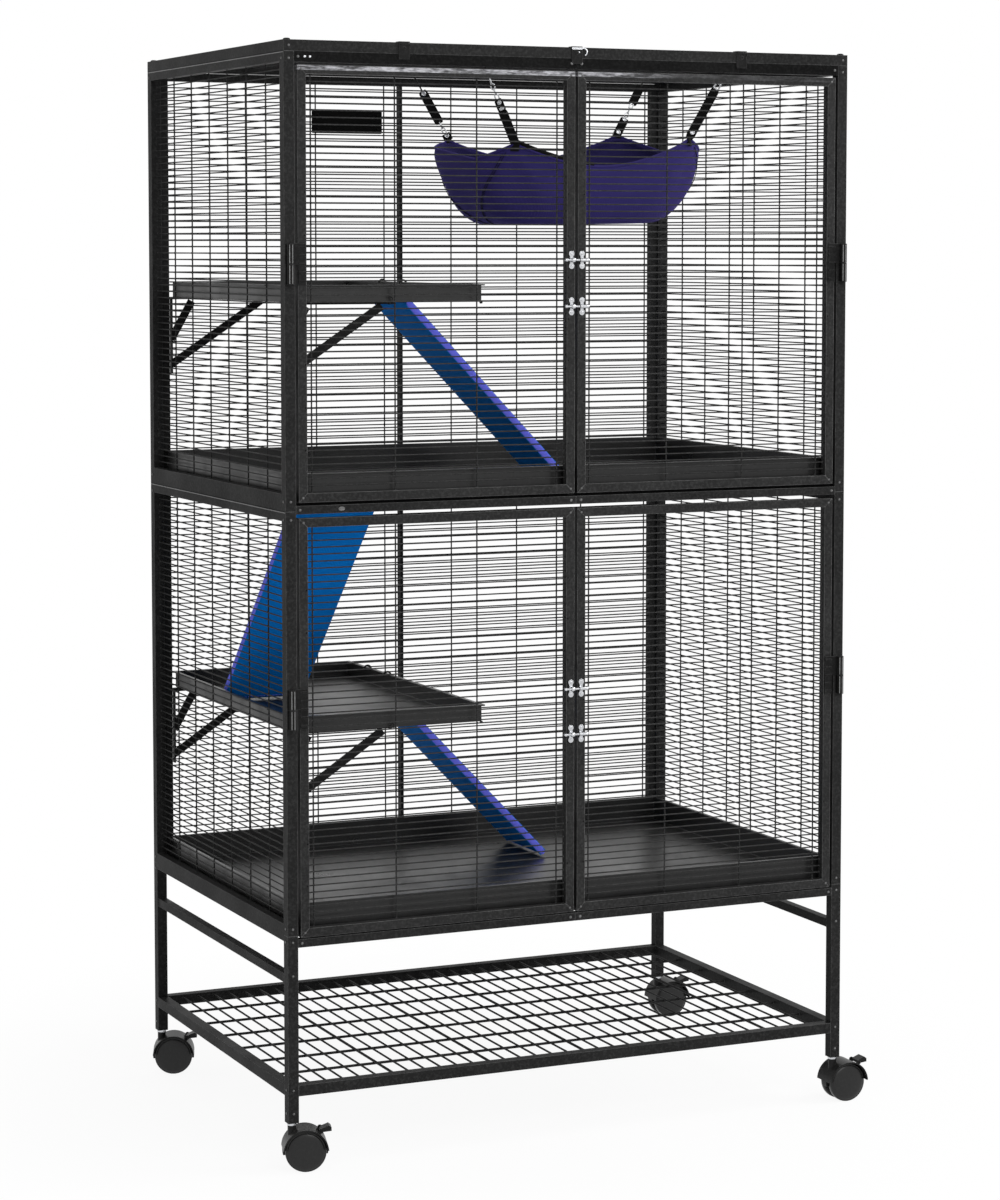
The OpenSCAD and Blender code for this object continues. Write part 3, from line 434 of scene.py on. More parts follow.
def coated(name, paint, fleck, worn_and_lit_edge, gloss, dust=0.05, grain=900.0, width=0.0009,
           worn_and_lit_share=0.6, bump=0.00006, metallic=0.0, shine=0.25, glare=None):
    """Painted or plated metal and moulded plastic: grain, edges paler from wear and from a
    painted highlight, and a film of dust.

    gloss is the least and most roughness. glare, on a door, is the span over which its painted
    glare streaks, a painted highlight, fade, in shares of its width.
    """
    material, w, shader = start_finish(name)
    coat_of = w.node("ShaderNodeGroup", node_tree=COAT_GRAIN)
    for key, value in {"Paint": paint, "Fleck": fleck, "Grain Size": grain,
                       "Gloss Low": gloss[0], "Gloss High": gloss[1]}.items():
        coat_of.inputs[key].default_value = value
    edge = w.node("ShaderNodeGroup", node_tree=EDGE_WEAR_AND_GLINT)
    edge.inputs["Worn And Lit Edge"].default_value = worn_and_lit_edge
    edge.inputs["Width"].default_value = width
    edge.inputs["Amount"].default_value = worn_and_lit_share
    w.feed(edge.inputs["Color"], coat_of.outputs["Color"])
    film = w.node("ShaderNodeGroup", node_tree=DUST_FILM)
    film.inputs["Amount"].default_value = dust
    w.feed(film.inputs["Color"], edge.outputs["Color"])
    w.feed(film.inputs["Roughness"], coat_of.outputs["Roughness"])
    relief = w.node("ShaderNodeBump", {"Strength": 0.35, "Distance": bump,
                                       "Height": coat_of.outputs["Height"],
                                       "Normal": edge.outputs["Normal"]})
    tint = film
    if glare:
        tint = w.node("ShaderNodeGroup", node_tree=RAIL_GLARE)
        tint.inputs["Fade From"].default_value, tint.inputs["Fade To"].default_value = glare
        w.feed(tint.inputs["Color"], film.outputs["Color"])
    w.feed(shader.inputs["Base Color"], tint.outputs["Color"])
    w.feed(shader.inputs["Roughness"], film.outputs["Roughness"])
    w.feed(shader.inputs["Normal"], relief.outputs["Normal"])
    shader.inputs["Metallic"].default_value = metallic
    shader.inputs["Specular IOR Level"].default_value = shine
    return material


def woven(name, yarn, gap_shade_and_blotch, threads=220.0, blotch=0.35, blotch_size=12.0, depth=0.4,
          bump=0.0004, sheen=0.05, sheen_tint=(1, 1, 1, 1), dust=0.02):
    """Cloth and webbing: crossed threads, a little dust, and a soft sheen where asked."""
    material, w, shader = start_finish(name)
    cloth = w.node("ShaderNodeGroup", node_tree=CLOTH_WEAVE)
    # depth sets how much painted shade lies in the gaps between threads
    for key, value in {"Yarn": yarn, "Gap Shade And Blotch": gap_shade_and_blotch, "Threads": threads, "Blotch": blotch,
                       "Blotch Size": blotch_size, "Thread Gap Shade": depth}.items():
        cloth.inputs[key].default_value = value
    film = w.node("ShaderNodeGroup", node_tree=DUST_FILM)
    film.inputs["Amount"].default_value = dust
    w.feed(film.inputs["Color"], cloth.outputs["Color"])
    w.feed(film.inputs["Roughness"], cloth.outputs["Roughness"])
    relief = w.node("ShaderNodeBump", {"Strength": 0.5, "Distance": bump,
                                       "Height": cloth.outputs["Height"]})
    w.feed(shader.inputs["Base Color"], film.outputs["Color"])
    w.feed(shader.inputs["Roughness"], film.outputs["Roughness"])
    w.feed(shader.inputs["Normal"], relief.outputs["Normal"])
    shader.inputs["Specular IOR Level"].default_value = 0.08
    shader.inputs["Sheen Weight"].default_value = sheen
    shader.inputs["Sheen Tint"].default_value = sheen_tint
    return material


POWDER = coated("black_powder_coat", grey(0.012), grey(0.032), grey(0.2), (0.36, 0.55),
                dust=0.02, shine=0.03, width=0.0012)
# Painted shade: the front top rail gets a darker copy of the powder coat, standing in for the
# shade under the lid's edge
TOP_RAIL_SHADE_COAT = coated("powder_coat_painted_shade", grey(0.003), grey(0.012), grey(0.05), (0.4, 0.6),
                       dust=0.005, shine=0.03)
WIRE_COAT = coated("black_wire_coat", grey(0.005), grey(0.010), grey(0.02), (0.4, 0.6), worn_and_lit_share=0.2)
DOOR_LOOK = {"paint": grey(0.014), "fleck": grey(0.038), "worn_and_lit_edge": grey(0.25),
             "gloss": (0.34, 0.52), "worn_and_lit_share": 0.7, "dust": 0.02, "shine": 0.06, "width": 0.0012}
DOOR_COAT = coated("black_door_coat", **DOOR_LOOK)
# The upper doors' coats carry painted glare: pale streaks painted on their top rails as a painted
# highlight
LEFT_DOOR_GLARE_COAT = coated("black_upper_left_door_painted_glare", glare=(2.0, 3.0), **DOOR_LOOK)
RIGHT_DOOR_GLARE_COAT = coated("black_upper_right_door_painted_glare", glare=(0.1, 0.4), **DOOR_LOOK)
TRAY = coated("satin_black_tray", grey(0.009), grey(0.016), grey(0.06), (0.26, 0.42),
              dust=0.03, grain=600.0, width=0.0016, shine=0.4)
DARK_STEEL = coated("blackened_steel", grey(0.006), grey(0.016), grey(0.12), (0.34, 0.55),
                    dust=0.02, shine=0.07)
ZINC = coated("bright_zinc_plate", (0.62, 0.63, 0.65, 1), (0.5, 0.51, 0.53, 1),
              (0.85, 0.86, 0.88, 1), (0.16, 0.34), dust=0.02, grain=700.0, width=0.0005,
              worn_and_lit_share=0.4, metallic=1.0, shine=0.5)
RIVET_AND_SEAM_GLINT = coated("rivet_steel_and_seam_glint", grey(0.09), grey(0.16), grey(0.5), (0.25, 0.4),
               dust=0.02, width=0.0004, worn_and_lit_share=0.5)
# Painted highlight: the pale colour of the hinge knuckles' glint lines
HINGE_GLINT = coated("painted_hinge_glint", grey(0.22), grey(0.34), grey(0.5), (0.25, 0.4),
                    dust=0.0, width=0.0003, worn_and_lit_share=0.3)
CASTER = coated("caster_nylon", grey(0.008), grey(0.012), grey(0.04), (0.3, 0.42),
                grain=1200.0, width=0.0008, worn_and_lit_share=0.35, bump=0.00003, shine=0.13)
WHEEL = coated("wheel_black", grey(0.008), grey(0.013), grey(0.04), (0.3, 0.42),
               dust=0.03, grain=1000.0, width=0.0008, worn_and_lit_share=0.3, shine=0.3)
DARK_PLATE_AND_SEAM_SHADE = coated("bare_dark_plate_and_seam_shade", grey(0.002), grey(0.004), grey(0.02), (0.4, 0.6),
               dust=0.01, shine=0.04)
RAMP_CLOTH = woven("ramp_cover_blue", (0.001, 0.19, 0.66, 1), (0.001, 0.14, 0.50, 1),
                   threads=260.0, blotch=0.3, blotch_size=8.0, depth=0.2, sheen=0.0,
                   dust=0.004)
# Painted light: a paler periwinkle copy of the cover's blue, painted as light and sheen on the
# cover's side faces
RAMP_SIDE_LIT = woven("ramp_side_painted_light", (0.17, 0.19, 0.92, 1), (0.11, 0.12, 0.70, 1),
                  threads=260.0, blotch=0.2, depth=0.2)
HAMMOCK_CLOTH = woven("hammock_purple", (0.036, 0.028, 0.15, 1), (0.020, 0.017, 0.085, 1),
                      threads=200.0, blotch=0.4, blotch_size=7.0, depth=0.25, sheen=0.12,
                      sheen_tint=(0.35, 0.25, 0.9, 1))
HAMMOCK_LINING = woven("hammock_lining", (0.030, 0.024, 0.12, 1), (0.014, 0.012, 0.06, 1),
                       threads=160.0, blotch=0.5, depth=0.3, bump=0.0008)
WEBBING = woven("black_webbing", grey(0.006), grey(0.002), threads=420.0, blotch=0.1,
                depth=0.6)
STITCH = woven("dark_stitching", (0.012, 0.010, 0.045, 1), grey(0.004), threads=500.0)


def dress_frame():
    """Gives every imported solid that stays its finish."""
    looks = {
        POWDER: ["left_legs", "right_legs", "storage_shelf", "lower_left_panel",
                 "lower_right_panel", "lower_back_panel", "lower_floor_grid",
                 "upper_left_panel", "upper_right_panel", "upper_back_panel",
                 "upper_floor_grid", "lid", "front_mid_rail", "front_bottom_rail"],
        DOOR_COAT: ["lower_left_door", "lower_right_door"],
        LEFT_DOOR_GLARE_COAT: ["upper_left_door"],
        RIGHT_DOOR_GLARE_COAT: ["upper_right_door"],
        TOP_RAIL_SHADE_COAT: ["front_top_rail"],
        TRAY: ["lower_pan", "upper_pan", "upper_shelf", "lower_shelf"],
        DARK_STEEL: ["lid_clips", "post_caps", "post_hinge_leaves", "upper_left_hinge_leaf",
                     "upper_right_hinge_leaf", "lower_left_hinge_leaf",
                     "lower_right_hinge_leaf", "shelf_braces"],
        ZINC: ["upper_latch_guides", "upper_latch_keepers", "lower_latch_guides",
               "lower_latch_keepers", "upper_top_bolt", "upper_bottom_bolt",
               "lower_top_bolt", "lower_bottom_bolt", "caster_stems"],
        CASTER: [f"{c}_{p}" for c in CORNERS for p in ("hood", "brake")],
    }
    for material, nodes in looks.items():
        for node in nodes:
            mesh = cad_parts[node].data
            mesh.materials.clear()
            mesh.materials.append(material)


# Where each caster's stem stands, and how far it is turned at rest
CORNERS = {"front_left": (-449.5, -297.0, 16.0), "front_right": (449.5, -297.0, 0.0),
           "back_left": (-449.5, 297.0, 20.0), "back_right": (449.5, 297.0, 0.0)}
dress_frame()


# ------------------------------------------------------------------ casters

# A wheel's radius and width, its axle behind the stem, and half the room between the two
WHEEL_R, WHEEL_W, TRAIL, WEB = 30.0, 13.0, 19.0, 7.0


def twin_wheels(corner):
    """Two wheels with domed outer faces, a soft tread and the axle between them."""
    x, y, turn = CORNERS[corner]
    place = Matrix.Translation((x, y, 0)) @ Matrix.Rotation(math.radians(-turn), 4, "Z")
    shape = Shape()
    dome = [(0.0, 0.0), (WHEEL_R - 2.2, 0.0), (WHEEL_R - 0.6, 0.6), (WHEEL_R, 2.0),
            (WHEEL_R, WHEEL_W - 6.5), (WHEEL_R - 0.5, WHEEL_W - 4.6),
            (WHEEL_R - 1.6, WHEEL_W - 4.0), (WHEEL_R - 2.6, WHEEL_W - 4.1)]
    dome += [((WHEEL_R - 3.0) * math.cos(a), WHEEL_W - 4.2 + 4.2 * math.sin(a))
             for a in (math.radians(d) for d in range(6, 85, 6))]
    dome.append((0.0, WHEEL_W))
    for side in (-1, 1):
        hub = place @ Matrix.Translation((TRAIL, side * WEB, WHEEL_R)) \
            @ Matrix.Rotation(math.radians(-90 * side), 4, "X")
        lathe(shape, dome, hub, 48)
    axle = place @ Matrix.Translation((TRAIL, -WEB - 1, WHEEL_R)) \
        @ Matrix.Rotation(math.radians(-90), 4, "X")
    lathe(shape, [(0, 0), (3, 0), (3, 2 * WEB + 2), (0, 2 * WEB + 2)], axle, 20)
    shape.piece(f"{corner}_twin_wheels", f"{corner}_wheels_body", [WHEEL], "wheel_black",
                [f"{corner}_wheels"], crease=35)


for corner in CORNERS:
    twin_wheels(corner)


# ------------------------------------------------------------------ wire mesh

# Distance of a mesh's outer uprights from its edges, and the pitch that the others keep near to
EDGE_UPRIGHT, UPRIGHT_PITCH = 11, 122
# Lower edge and height of each back panel
BACKS = {"lower": (335.0, 618.0), "upper": (955.0, 648.0)}
# Lower and upper end of each side panel, and the height of its bottom and top rail
SIDES = {"lower": (334.0, UPPER_Z), "upper": (UPPER_Z, LID_Z)}
SIDE_FOOT, SIDE_HEAD = 25, 14
SIDE_UPRIGHTS = [2 * HALF_D - y - POST for y in range(22, 590, 82)]
WELD = [(0, -1.7), (1.35, -1.0), (1.7, 0), (1.35, 1.0), (0, 1.7)]


def spread_uprights(width):
    """How far each upright of a door or a back panel stands from the mesh's edge."""
    field = width - 2 * EDGE_UPRIGHT
    gaps = max(1, round(field / UPRIGHT_PITCH))
    return [EDGE_UPRIGHT + i * field / gaps for i in range(gaps + 1)]


def weld_beads(name, body, place, height, uprights):
    """The small squashed weld wherever a wire crosses an upright."""
    rows = max(1, round(height / ROW_PITCH) - 1)
    step = height / (rows + 1)
    out = place.to_3x3() @ Vector((0, -1, 0))
    shape = Shape()
    for row in range(1, rows + 1):
        for x in uprights:
            at = place @ Vector((x, SETBACK + WIRE / 2 + 0.05, row * step))
            lathe(shape, WELD, frame_at(at, out), 6)
    shape.piece(name, body, [WIRE_COAT], "powder_black")


def mesh_welds():
    """The welds of the doors, the backs and the sides; the right side mirrors the left."""
    door_uprights = spread_uprights(DOOR_W - 2 * RAIL)
    for storey, (z, h) in DOORS.items():
        for side, sign in (("left", 1), ("right", -1)):
            at = Matrix.Scale(sign, 4, (1, 0, 0)) @ Matrix.Translation(
                (-HALF_W + DOOR_SIDE + RAIL, -HALF_D, z + RAIL))
            weld_beads(f"{storey}_{side}_door_welds", f"{storey}_{side}_door_body", at,
                       h - 2 * RAIL, door_uprights)
    back_uprights = spread_uprights(2 * INNER_X - 2 * RAIL)
    for storey, (z, h) in BACKS.items():
        at = Matrix.Translation((INNER_X, HALF_D, z)) @ Matrix.Rotation(math.pi, 4, "Z") \
            @ Matrix.Translation((RAIL, 0, RAIL))
        weld_beads(f"{storey}_back_welds", "cage", at, h - 2 * RAIL, back_uprights)
    for storey, (z, top) in SIDES.items():
        for side, sign in (("left", 1), ("right", -1)):
            at = Matrix.Scale(sign, 4, (1, 0, 0)) \
                @ Matrix.Translation((-HALF_W, INNER_Y, z + SIDE_FOOT)) \
                @ Matrix.Rotation(-math.pi / 2, 4, "Z")
            weld_beads(f"{storey}_{side}_welds", "cage", at, top - SIDE_HEAD - z - SIDE_FOOT,
                       SIDE_UPRIGHTS)


mesh_welds()


# ------------------------------------------------------------------ rivets and small fittings

DOME = [(0.0, 1.5), (1.1, 1.35), (1.9, 0.9), (2.3, 0.2), (2.3, -0.4), (0.0, -0.4)]
WIRE_END = [(0, 0.35), (0.8, 0.3), (1.15, 0.05), (1.15, -0.3), (0, -0.3)]
FRONT = (0, -1, 0)
# Rivets by the seams between lid and cages, high on the front legs, and on the stretchers
SEAM_LEVELS = (LID_Z - 10, UPPER_Z + 14, UPPER_Z - 12, LOWER_Z + 10, LOWER_Z - 9)
LEG_LEVEL = 285
STRETCHER_LEVELS = (84, 118)
# Rivets in the front rails, above each rail's underside
RAIL_LEVELS = (TOP_RAIL_Z + 7.5, MID_RAIL_Z + 6, BOTTOM_RAIL_Z + 6)
SHELF_UNDERSIDES = (1250.0, 632.0)
# Lower end of each hinge, its pin's place, and the radius and height of one of its knuckles
HINGES = {"upper": 1276.0, "lower": 642.0}
HINGE_X, HINGE_Y = 450.0, -311.0
KNUCKLE_R, KNUCKLE_H = 5.0, 29.0


def rivet(shape, at, out=FRONT, size=1.0, slot=0):
    lathe(shape, [(r * size, h * size) for r, h in DOME], frame_at(at, out), 12, slot)


def frame_rivets():
    """Domed rivets where posts, rails and lid are joined."""
    shape = Shape()
    for z in RAIL_LEVELS:
        for x in (-8, 8):
            rivet(shape, (x, -HALF_D, z))
        for s in (-1, 1):
            rivet(shape, (s * (INNER_X - 6), -HALF_D, z), size=0.9)
    for x in (-INNER_X + 16, -INNER_X + 24):
        rivet(shape, (x, -HALF_D, RAIL_LEVELS[0]), size=0.9, slot=1)
    for s in (-1, 1):
        for z in SEAM_LEVELS + (LEG_LEVEL,) + STRETCHER_LEVELS:
            rivet(shape, (s * (HALF_W - POST / 2), -HALF_D, z), size=0.8)
        for y in (-HALF_D + POST / 2, HALF_D - POST / 2):
            for z in SEAM_LEVELS + STRETCHER_LEVELS:
                rivet(shape, (s * HALF_W, y, z), (s, 0, 0), 0.8)
    for s in (-1, 1):
        rivet(shape, (s * (HALF_W - POST / 2), -HALF_D, LID_Z + LID_H / 2), size=0.8)
    shape.piece("frame_rivets", "cage", [RIVET_AND_SEAM_GLINT, ZINC], "powder_black")


def door_rivets(storey, side):
    """Rivets on a door's mitred corners and the dots where its wires end in the stiles."""
    z, h = DOORS[storey]
    sign = -1 if side == "left" else 1
    near, far = sign * DOOR_GAP / 2, sign * (DOOR_GAP / 2 + DOOR_W)
    shape = Shape()
    for x in (near + sign * RAIL / 2, far - sign * RAIL / 2):
        for zz in (z + RAIL / 2, z + h - RAIL / 2):
            rivet(shape, (x, -HALF_D, zz), size=0.75)
    pitch = 61.0
    steps = int((h - 2 * RAIL) / pitch)
    for x in (near + sign * (RAIL - 2.4), far - sign * (RAIL - 2.4)):
        for k in range(1, steps + 1):
            lathe(shape, WIRE_END, frame_at((x, -HALF_D, z + RAIL + k * pitch), FRONT), 10, 1)
    shape.piece(f"{storey}_{side}_door_rivets", f"{storey}_{side}_door_body",
                [RIVET_AND_SEAM_GLINT, DARK_PLATE_AND_SEAM_SHADE], "powder_black")


def lid_clip_hooks():
    """The bent wire hook and rivet beside the middle clip, and a nose on the side clips."""
    shape = Shape()
    top = LID_Z + LID_H
    front, side_clip = -HALF_D - 1.9, 0.62 * INNER_X
    wire = [(8, front, top - 1.2), (11.5, front - 0.3, top - 1.4),
            (14.2, front - 0.5, top - 3.2), (15.4, front - 0.6, top - 6.4),
            (14.6, front - 0.5, top - 9.6), (12.4, front, top - 11.6)]
    tube(shape, smooth_path(wire, 4), 1.1, 10)
    rounded_plate(shape, 17.4, 3.4, 0.7, 1.2, frame_at((0, front + 0.35, top - 1.6), FRONT))
    rivet(shape, (3.2, front + 0.4, top - 7), size=0.62)
    for s in (-1, 1):
        x = s * side_clip
        rounded_plate(shape, 14, 2.6, 0.7, 1.0,
                      frame_at((x, front + 0.35, top - 1.4), FRONT), slot=1)
        tube(shape, smooth_path([(x + 6, front, top - 1), (x + 9, front, top - 2.6),
                                 (x + 9.4, front, top - 5.4)], 4), 0.8, 8, slot=1)
    shape.piece("lid_clip_hooks", "cage", [ZINC, DARK_STEEL], "zinc")


def smooth_path(points, steps):
    """Catmull-Rom through the points."""
    pts = [Vector(p) for p in points]
    pts = [pts[0] * 2 - pts[1]] + pts + [pts[-1] * 2 - pts[-2]]
    out = []
    for i in range(1, len(pts) - 2):
        a, b, c, d = pts[i - 1:i + 3]
        for k in range(steps):
            t = k / steps
            out.append(0.5 * (2 * b + (c - a) * t + (2 * a - 5 * b + 4 * c - d) * t * t
                              + (3 * b - a - 3 * c + d) * t ** 3))
    out.append(pts[-2])
    return out


def back_plate():
    """A bare dark plate that hangs on the inside of the upper back panel."""
    shape = Shape()
    middle, thick, stud = (-125, HALF_D - RAIL - 0.4, 1530.5), 1.6, 0.8
    at = frame_at(middle, FRONT)
    rounded_plate(shape, 122, 37, thick, 2.5, at, edge=0.6)
    for x in (-52, 52):
        for y in (-11, 11):
            lathe(shape, [(r * stud, h * stud + thick) for r, h in DOME],
                  at @ Matrix.Translation((x, y, 0)), 12)
    shape.piece("back_wall_plate", "cage", [DARK_PLATE_AND_SEAM_SHADE], "tray_black")


def shelf_fittings():
    """The rings in the shelves' front rims and the small bolts beneath them."""
    shape = Shape()
    ring_x, far_bolt_x, rim_y, bolt_y = -288, -143, -285.6, -281
    bolt = [(0, 2.2), (1.6, 2.0), (2.3, 1.2), (2.3, -1.5), (0, -1.5)]
    for z in SHELF_UNDERSIDES:
        ring = frame_at((ring_x, rim_y, z + 4), FRONT)
        tube(shape, ring_path(ring, 3.6, 24, -150, 300), 0.8, 8)
        for x in (ring_x, far_bolt_x):
            lathe(shape, bolt, frame_at((x, bolt_y, z - 1.2), (0, 0, -1)), 10)
    shape.piece("shelf_rings", "cage", [DARK_STEEL], "tray_black")


def painted_joint_shade_and_glint():
    """Painted shade and painted highlight: a dark strip painted as the shadow of the seam under
    the lid and between the cages, and a pale line below it painted as the edge catching the
    light.
    """
    shape = Shape()
    length, proud = 2 * HALF_D - 2, 0.05
    for z in (LID_Z, UPPER_Z):
        for s in (-1, 1):
            # Slot 0 is the painted shade strip, slot 1 the painted highlight line
            for level, half, slot in ((z, 0.75, 0), (z - 1.5, 0.55, 1)):
                at = frame_at((s * (HALF_W + proud), 0, level), (s, 0, 0))
                rounded_plate(shape, length, 2 * half, 0.25, half * 0.9, at, edge=0.1, slot=slot)
    shape.piece("painted_joint_shade_and_glint", "cage", [DARK_PLATE_AND_SEAM_SHADE, RIVET_AND_SEAM_GLINT], "powder_black")


def painted_hinge_glints():
    """Painted highlights: two pale glint lines painted down the front of each hinge knuckle, of
    post and door alike.
    """
    fixed = Shape()
    for storey, z in HINGES.items():
        for side, s in (("left", -1), ("right", 1)):
            turning = Shape()
            for shape, low in ((fixed, z), (turning, z + KNUCKLE_H)):
                for angle in (-38, 12):
                    a = math.radians(angle)
                    x = s * HINGE_X + KNUCKLE_R * math.sin(a)
                    y = HINGE_Y - KNUCKLE_R * math.cos(a)
                    tube(shape, [(x, y, low + 1.2), (x, y, low + KNUCKLE_H - 1.6)], 0.5, 8)
            turning.piece(f"{storey}_{side}_painted_hinge_glints", f"{storey}_{side}_door_body",
                          [HINGE_GLINT], "tray_black")
    fixed.piece("post_painted_hinge_glints", "cage", [HINGE_GLINT], "tray_black")


def rail_plug():
    """An oval plug pressed into the middle rail."""
    shape = Shape()
    at = Matrix.Translation((-372, -HALF_D, MID_RAIL_Z + 6)) \
        @ Matrix.Rotation(math.radians(90), 4, "X") @ Matrix.Diagonal((1.7, 1.0, 1.0, 1.0))
    lathe(shape, [(0, 0.5), (1.6, 0.45), (2.3, 0.9), (2.9, 0.6), (3.1, -0.4), (0, -0.4)], at, 24)
    shape.piece("middle_rail_plug", "cage", [RIVET_AND_SEAM_GLINT], "powder_black")


frame_rivets()
for storey in DOORS:
    for side in ("left", "right"):
        door_rivets(storey, side)
lid_clip_hooks()
back_plate()
shelf_fittings()
painted_joint_shade_and_glint()
painted_hinge_glints()
rail_plug()


# ------------------------------------------------------------------ ramps

RAMP_W, RAMP_T, SLOPE = 130.0, 12.0, 46.0
# Width of the band down each side of a cover that is painted paler, as painted light on its side
# faces
SIDE_BAND = 1.9
# The hooks' radius and wire, and the ramp's clearances behind its edge, at its foot and in a hook
HOOK_R, HOOK_D, END_GAP, FOOT_GAP, REST = 6.0, 3.0, 2.5, 0.2, 0.2
RAMPS = {
    # name: place of the edge it hangs on, direction in degrees, drop to the floor,
    # the board's drop, and half the edge's thickness
    "upper": ((-141.5, -5.0, 1275.0), 0, 1275.0 - 968.2, 26.0, 3.0),
    "middle": ((-298.5, -250.0, 986.2), 90, 352.2, 26.0, 1.0),
    "lower": ((-141.5, 62.0, 657.0), 0, 657.0 - 348.2, 26.0, 3.0),
}


def cover_section(radius=2.6):
    """The outline of a cover cut across the ramp, with round edges."""
    section = []
    for cx, cz, start in ((1, 1, 0), (0, 1, 90), (0, 0, 180), (1, 0, 270)):
        y0 = RAMP_W - radius if cx else radius
        z0 = RAMP_T - radius if cz else radius
        for k in range(4):
            a = math.radians(start + 30 * k)
            section.append((y0 + radius * math.cos(a), z0 + radius * math.sin(a)))
        if (cx, cz) == (1, 1):
            section += [(RAMP_W * f, RAMP_T) for f in (0.8, 0.6, 0.4, 0.2)]
        if (cx, cz) == (0, 0):
            section += [(RAMP_W * f, 0.0) for f in (0.2, 0.4, 0.6, 0.8)]
    return section


def cover_skin(shape, length, columns=48):
    """The cover's faces: slack cloth that is pinched at both ends, with its side bands painted
    paler as painted light.
    """
    section = cover_section()
    n = len(section)
    points, faces, slots = [], [], []
    for i in range(columns + 1):
        x = length * i / columns
        end = min(x, length - x)
        pinch = 1.0 - 0.55 * math.exp(-end / 2.2)
        for y, z in section:
            on_top = z > RAMP_T / 2
            mid = min(1.0, min(y, RAMP_W - y) / 20)
            puff = 0.5 * math.sin(x * 0.043 + y * 0.02) * mid * (1 if on_top else -1)
            gap_shade = min(0.0, puff) if on_top else max(0.0, puff)
            points.append((x, RAMP_W / 2 + (y - RAMP_W / 2) * (1 - 0.012 * (1 - pinch)),
                           RAMP_T / 2 + (z - RAMP_T / 2) * pinch + gap_shade * 0.8))
    for i in range(columns):
        for k in range(n):
            j = (k + 1) % n
            faces.append([i * n + k, i * n + j, (i + 1) * n + j, (i + 1) * n + k])
            y = (section[k][0] + section[j][0]) / 2
            slots.append(1 if y < SIDE_BAND or y > RAMP_W - SIDE_BAND else 0)
    faces.append(list(range(n))[::-1])
    faces.append([columns * n + k for k in range(n)])
    shape.add(points, faces)
    shape.slots[:len(slots)] = slots


def cover_sewing(shape, length):
    """Piping where faces and side bands meet, and a row of stitches by each end."""
    for y in (1.3, RAMP_W - 1.3):
        for z in (0.9, RAMP_T - 0.9):
            tube(shape, [(x, y, z) for x in (1.5, length / 3, length / 1.5, length - 1.5)],
                 0.75, 8)
    margin, stitch, pitch = 8, 3.2, 5
    for x in (9.0, length - 9.0):
        for z, lift in ((-0.1, 1), (RAMP_T + 0.1, -1)):
            for k in range(int((RAMP_W - 2 * margin) / pitch)):
                y = margin + k * pitch
                tube(shape, [(x, y, z), (x, y + stitch / 2, z - 0.15 * lift),
                             (x, y + stitch, z)], 0.35, 6, slot=1)


def ramp_hooks(shape, board_drop, edge_half):
    """The two wire hooks that hold a ramp on its edge."""
    down = math.sqrt((HOOK_R - HOOK_D / 2 - REST) ** 2 - edge_half ** 2)
    for share in (0.18, 0.82):
        arc = [(HOOK_R * math.cos(a), share * RAMP_W, -down + HOOK_R * math.sin(a))
               for a in (math.radians(170 - 10 * k) for k in range(18))]
        arc += [(HOOK_R, share * RAMP_W, -down - d) for d in (4.0, 10.0)]
        arc += [(HOOK_R + 0.6, share * RAMP_W, -board_drop - 1.0),
                (HOOK_R + 3.2, share * RAMP_W, -board_drop - 6.0)]
        tube(shape, arc, HOOK_D / 2, 14, up=(0, 1, 0))


def ramp(name):
    """A board in a sewn cover, and the hooks it hangs by."""
    origin, turn, drop, board_drop, edge_half = RAMPS[name]
    slope = math.radians(SLOPE)
    length = (drop - board_drop - FOOT_GAP - RAMP_T * math.cos(slope)) / math.sin(slope)
    place = Matrix.Translation(origin) @ Matrix.Rotation(math.radians(turn), 4, "Z")
    board = place @ Matrix.Translation((END_GAP, 0, -board_drop)) \
        @ Matrix.Rotation(slope, 4, "Y") @ Matrix.Translation((0, 0, -RAMP_T))
    cover, hooks = Shape(), Shape()
    cover_skin(cover, length)
    cover_sewing(cover, length)
    cover.moved(board).piece(f"{name}_ramp_cover", f"{name}_ramp_body", [RAMP_CLOTH, RAMP_SIDE_LIT],
                             "ramp_blue", [f"{name}_ramp"], crease=50)
    ramp_hooks(hooks, board_drop, edge_half)
    hooks.moved(place).piece(f"{name}_ramp_hooks", f"{name}_ramp_body", [DARK_STEEL],
                             "tray_black")


for name in RAMPS:
    ramp(name)


# ------------------------------------------------------------------ hammock

HAMMOCK_AT = Vector((132.0, 0.0, 1364.0))
HALF_LONG, HALF_WIDE, DEEP = 200.0, 138.0, 104.0
# Shares of the half sides and of the depth, from the rim down, under and in to the middle
BAG = [(0.985, 1.0), (0.995, 0.95), (0.992, 0.88), (0.98, 0.80), (0.965, 0.72), (0.945, 0.62),
       (0.92, 0.52), (0.89, 0.41), (0.855, 0.31), (0.81, 0.205), (0.76, 0.12), (0.705, 0.055),
       (0.655, 0.018), (0.58, 0.002), (0.42, 0.0), (0.25, 0.0), (0.1, 0.0)]
# The corners' rise, how far they are drawn out as a share, and the rim's sag between them
LIFT, CORNER_OUT, SAG = 28.0, 0.02, 9.0
# How much higher it hangs at the back and at the right than in the middle
TILT_BACK, TILT_RIGHT = 8.0, 8.0
# Angle of the corners, seen with both half sides drawn as 1
CORNER = math.radians(50.8)
QUARTER = math.pi / 2
# How square the rim is, where 2 would be an ellipse
SQUARENESS = 3.8


def rounded(t):
    """The rim's distance from its middle at an angle, with both half sides drawn as 1."""
    return (abs(math.cos(t)) ** SQUARENESS + abs(math.sin(t)) ** SQUARENESS) \
        ** (-1 / SQUARENESS)


def corner_angle(number):
    """The angle of corner 0 (back right), 1 (back left), 2 (front left) or 3 (front right)."""
    return (number // 2 * 2 * QUARTER + CORNER) if number % 2 == 0 \
        else ((number // 2 + 1) * 2 * QUARTER - CORNER)


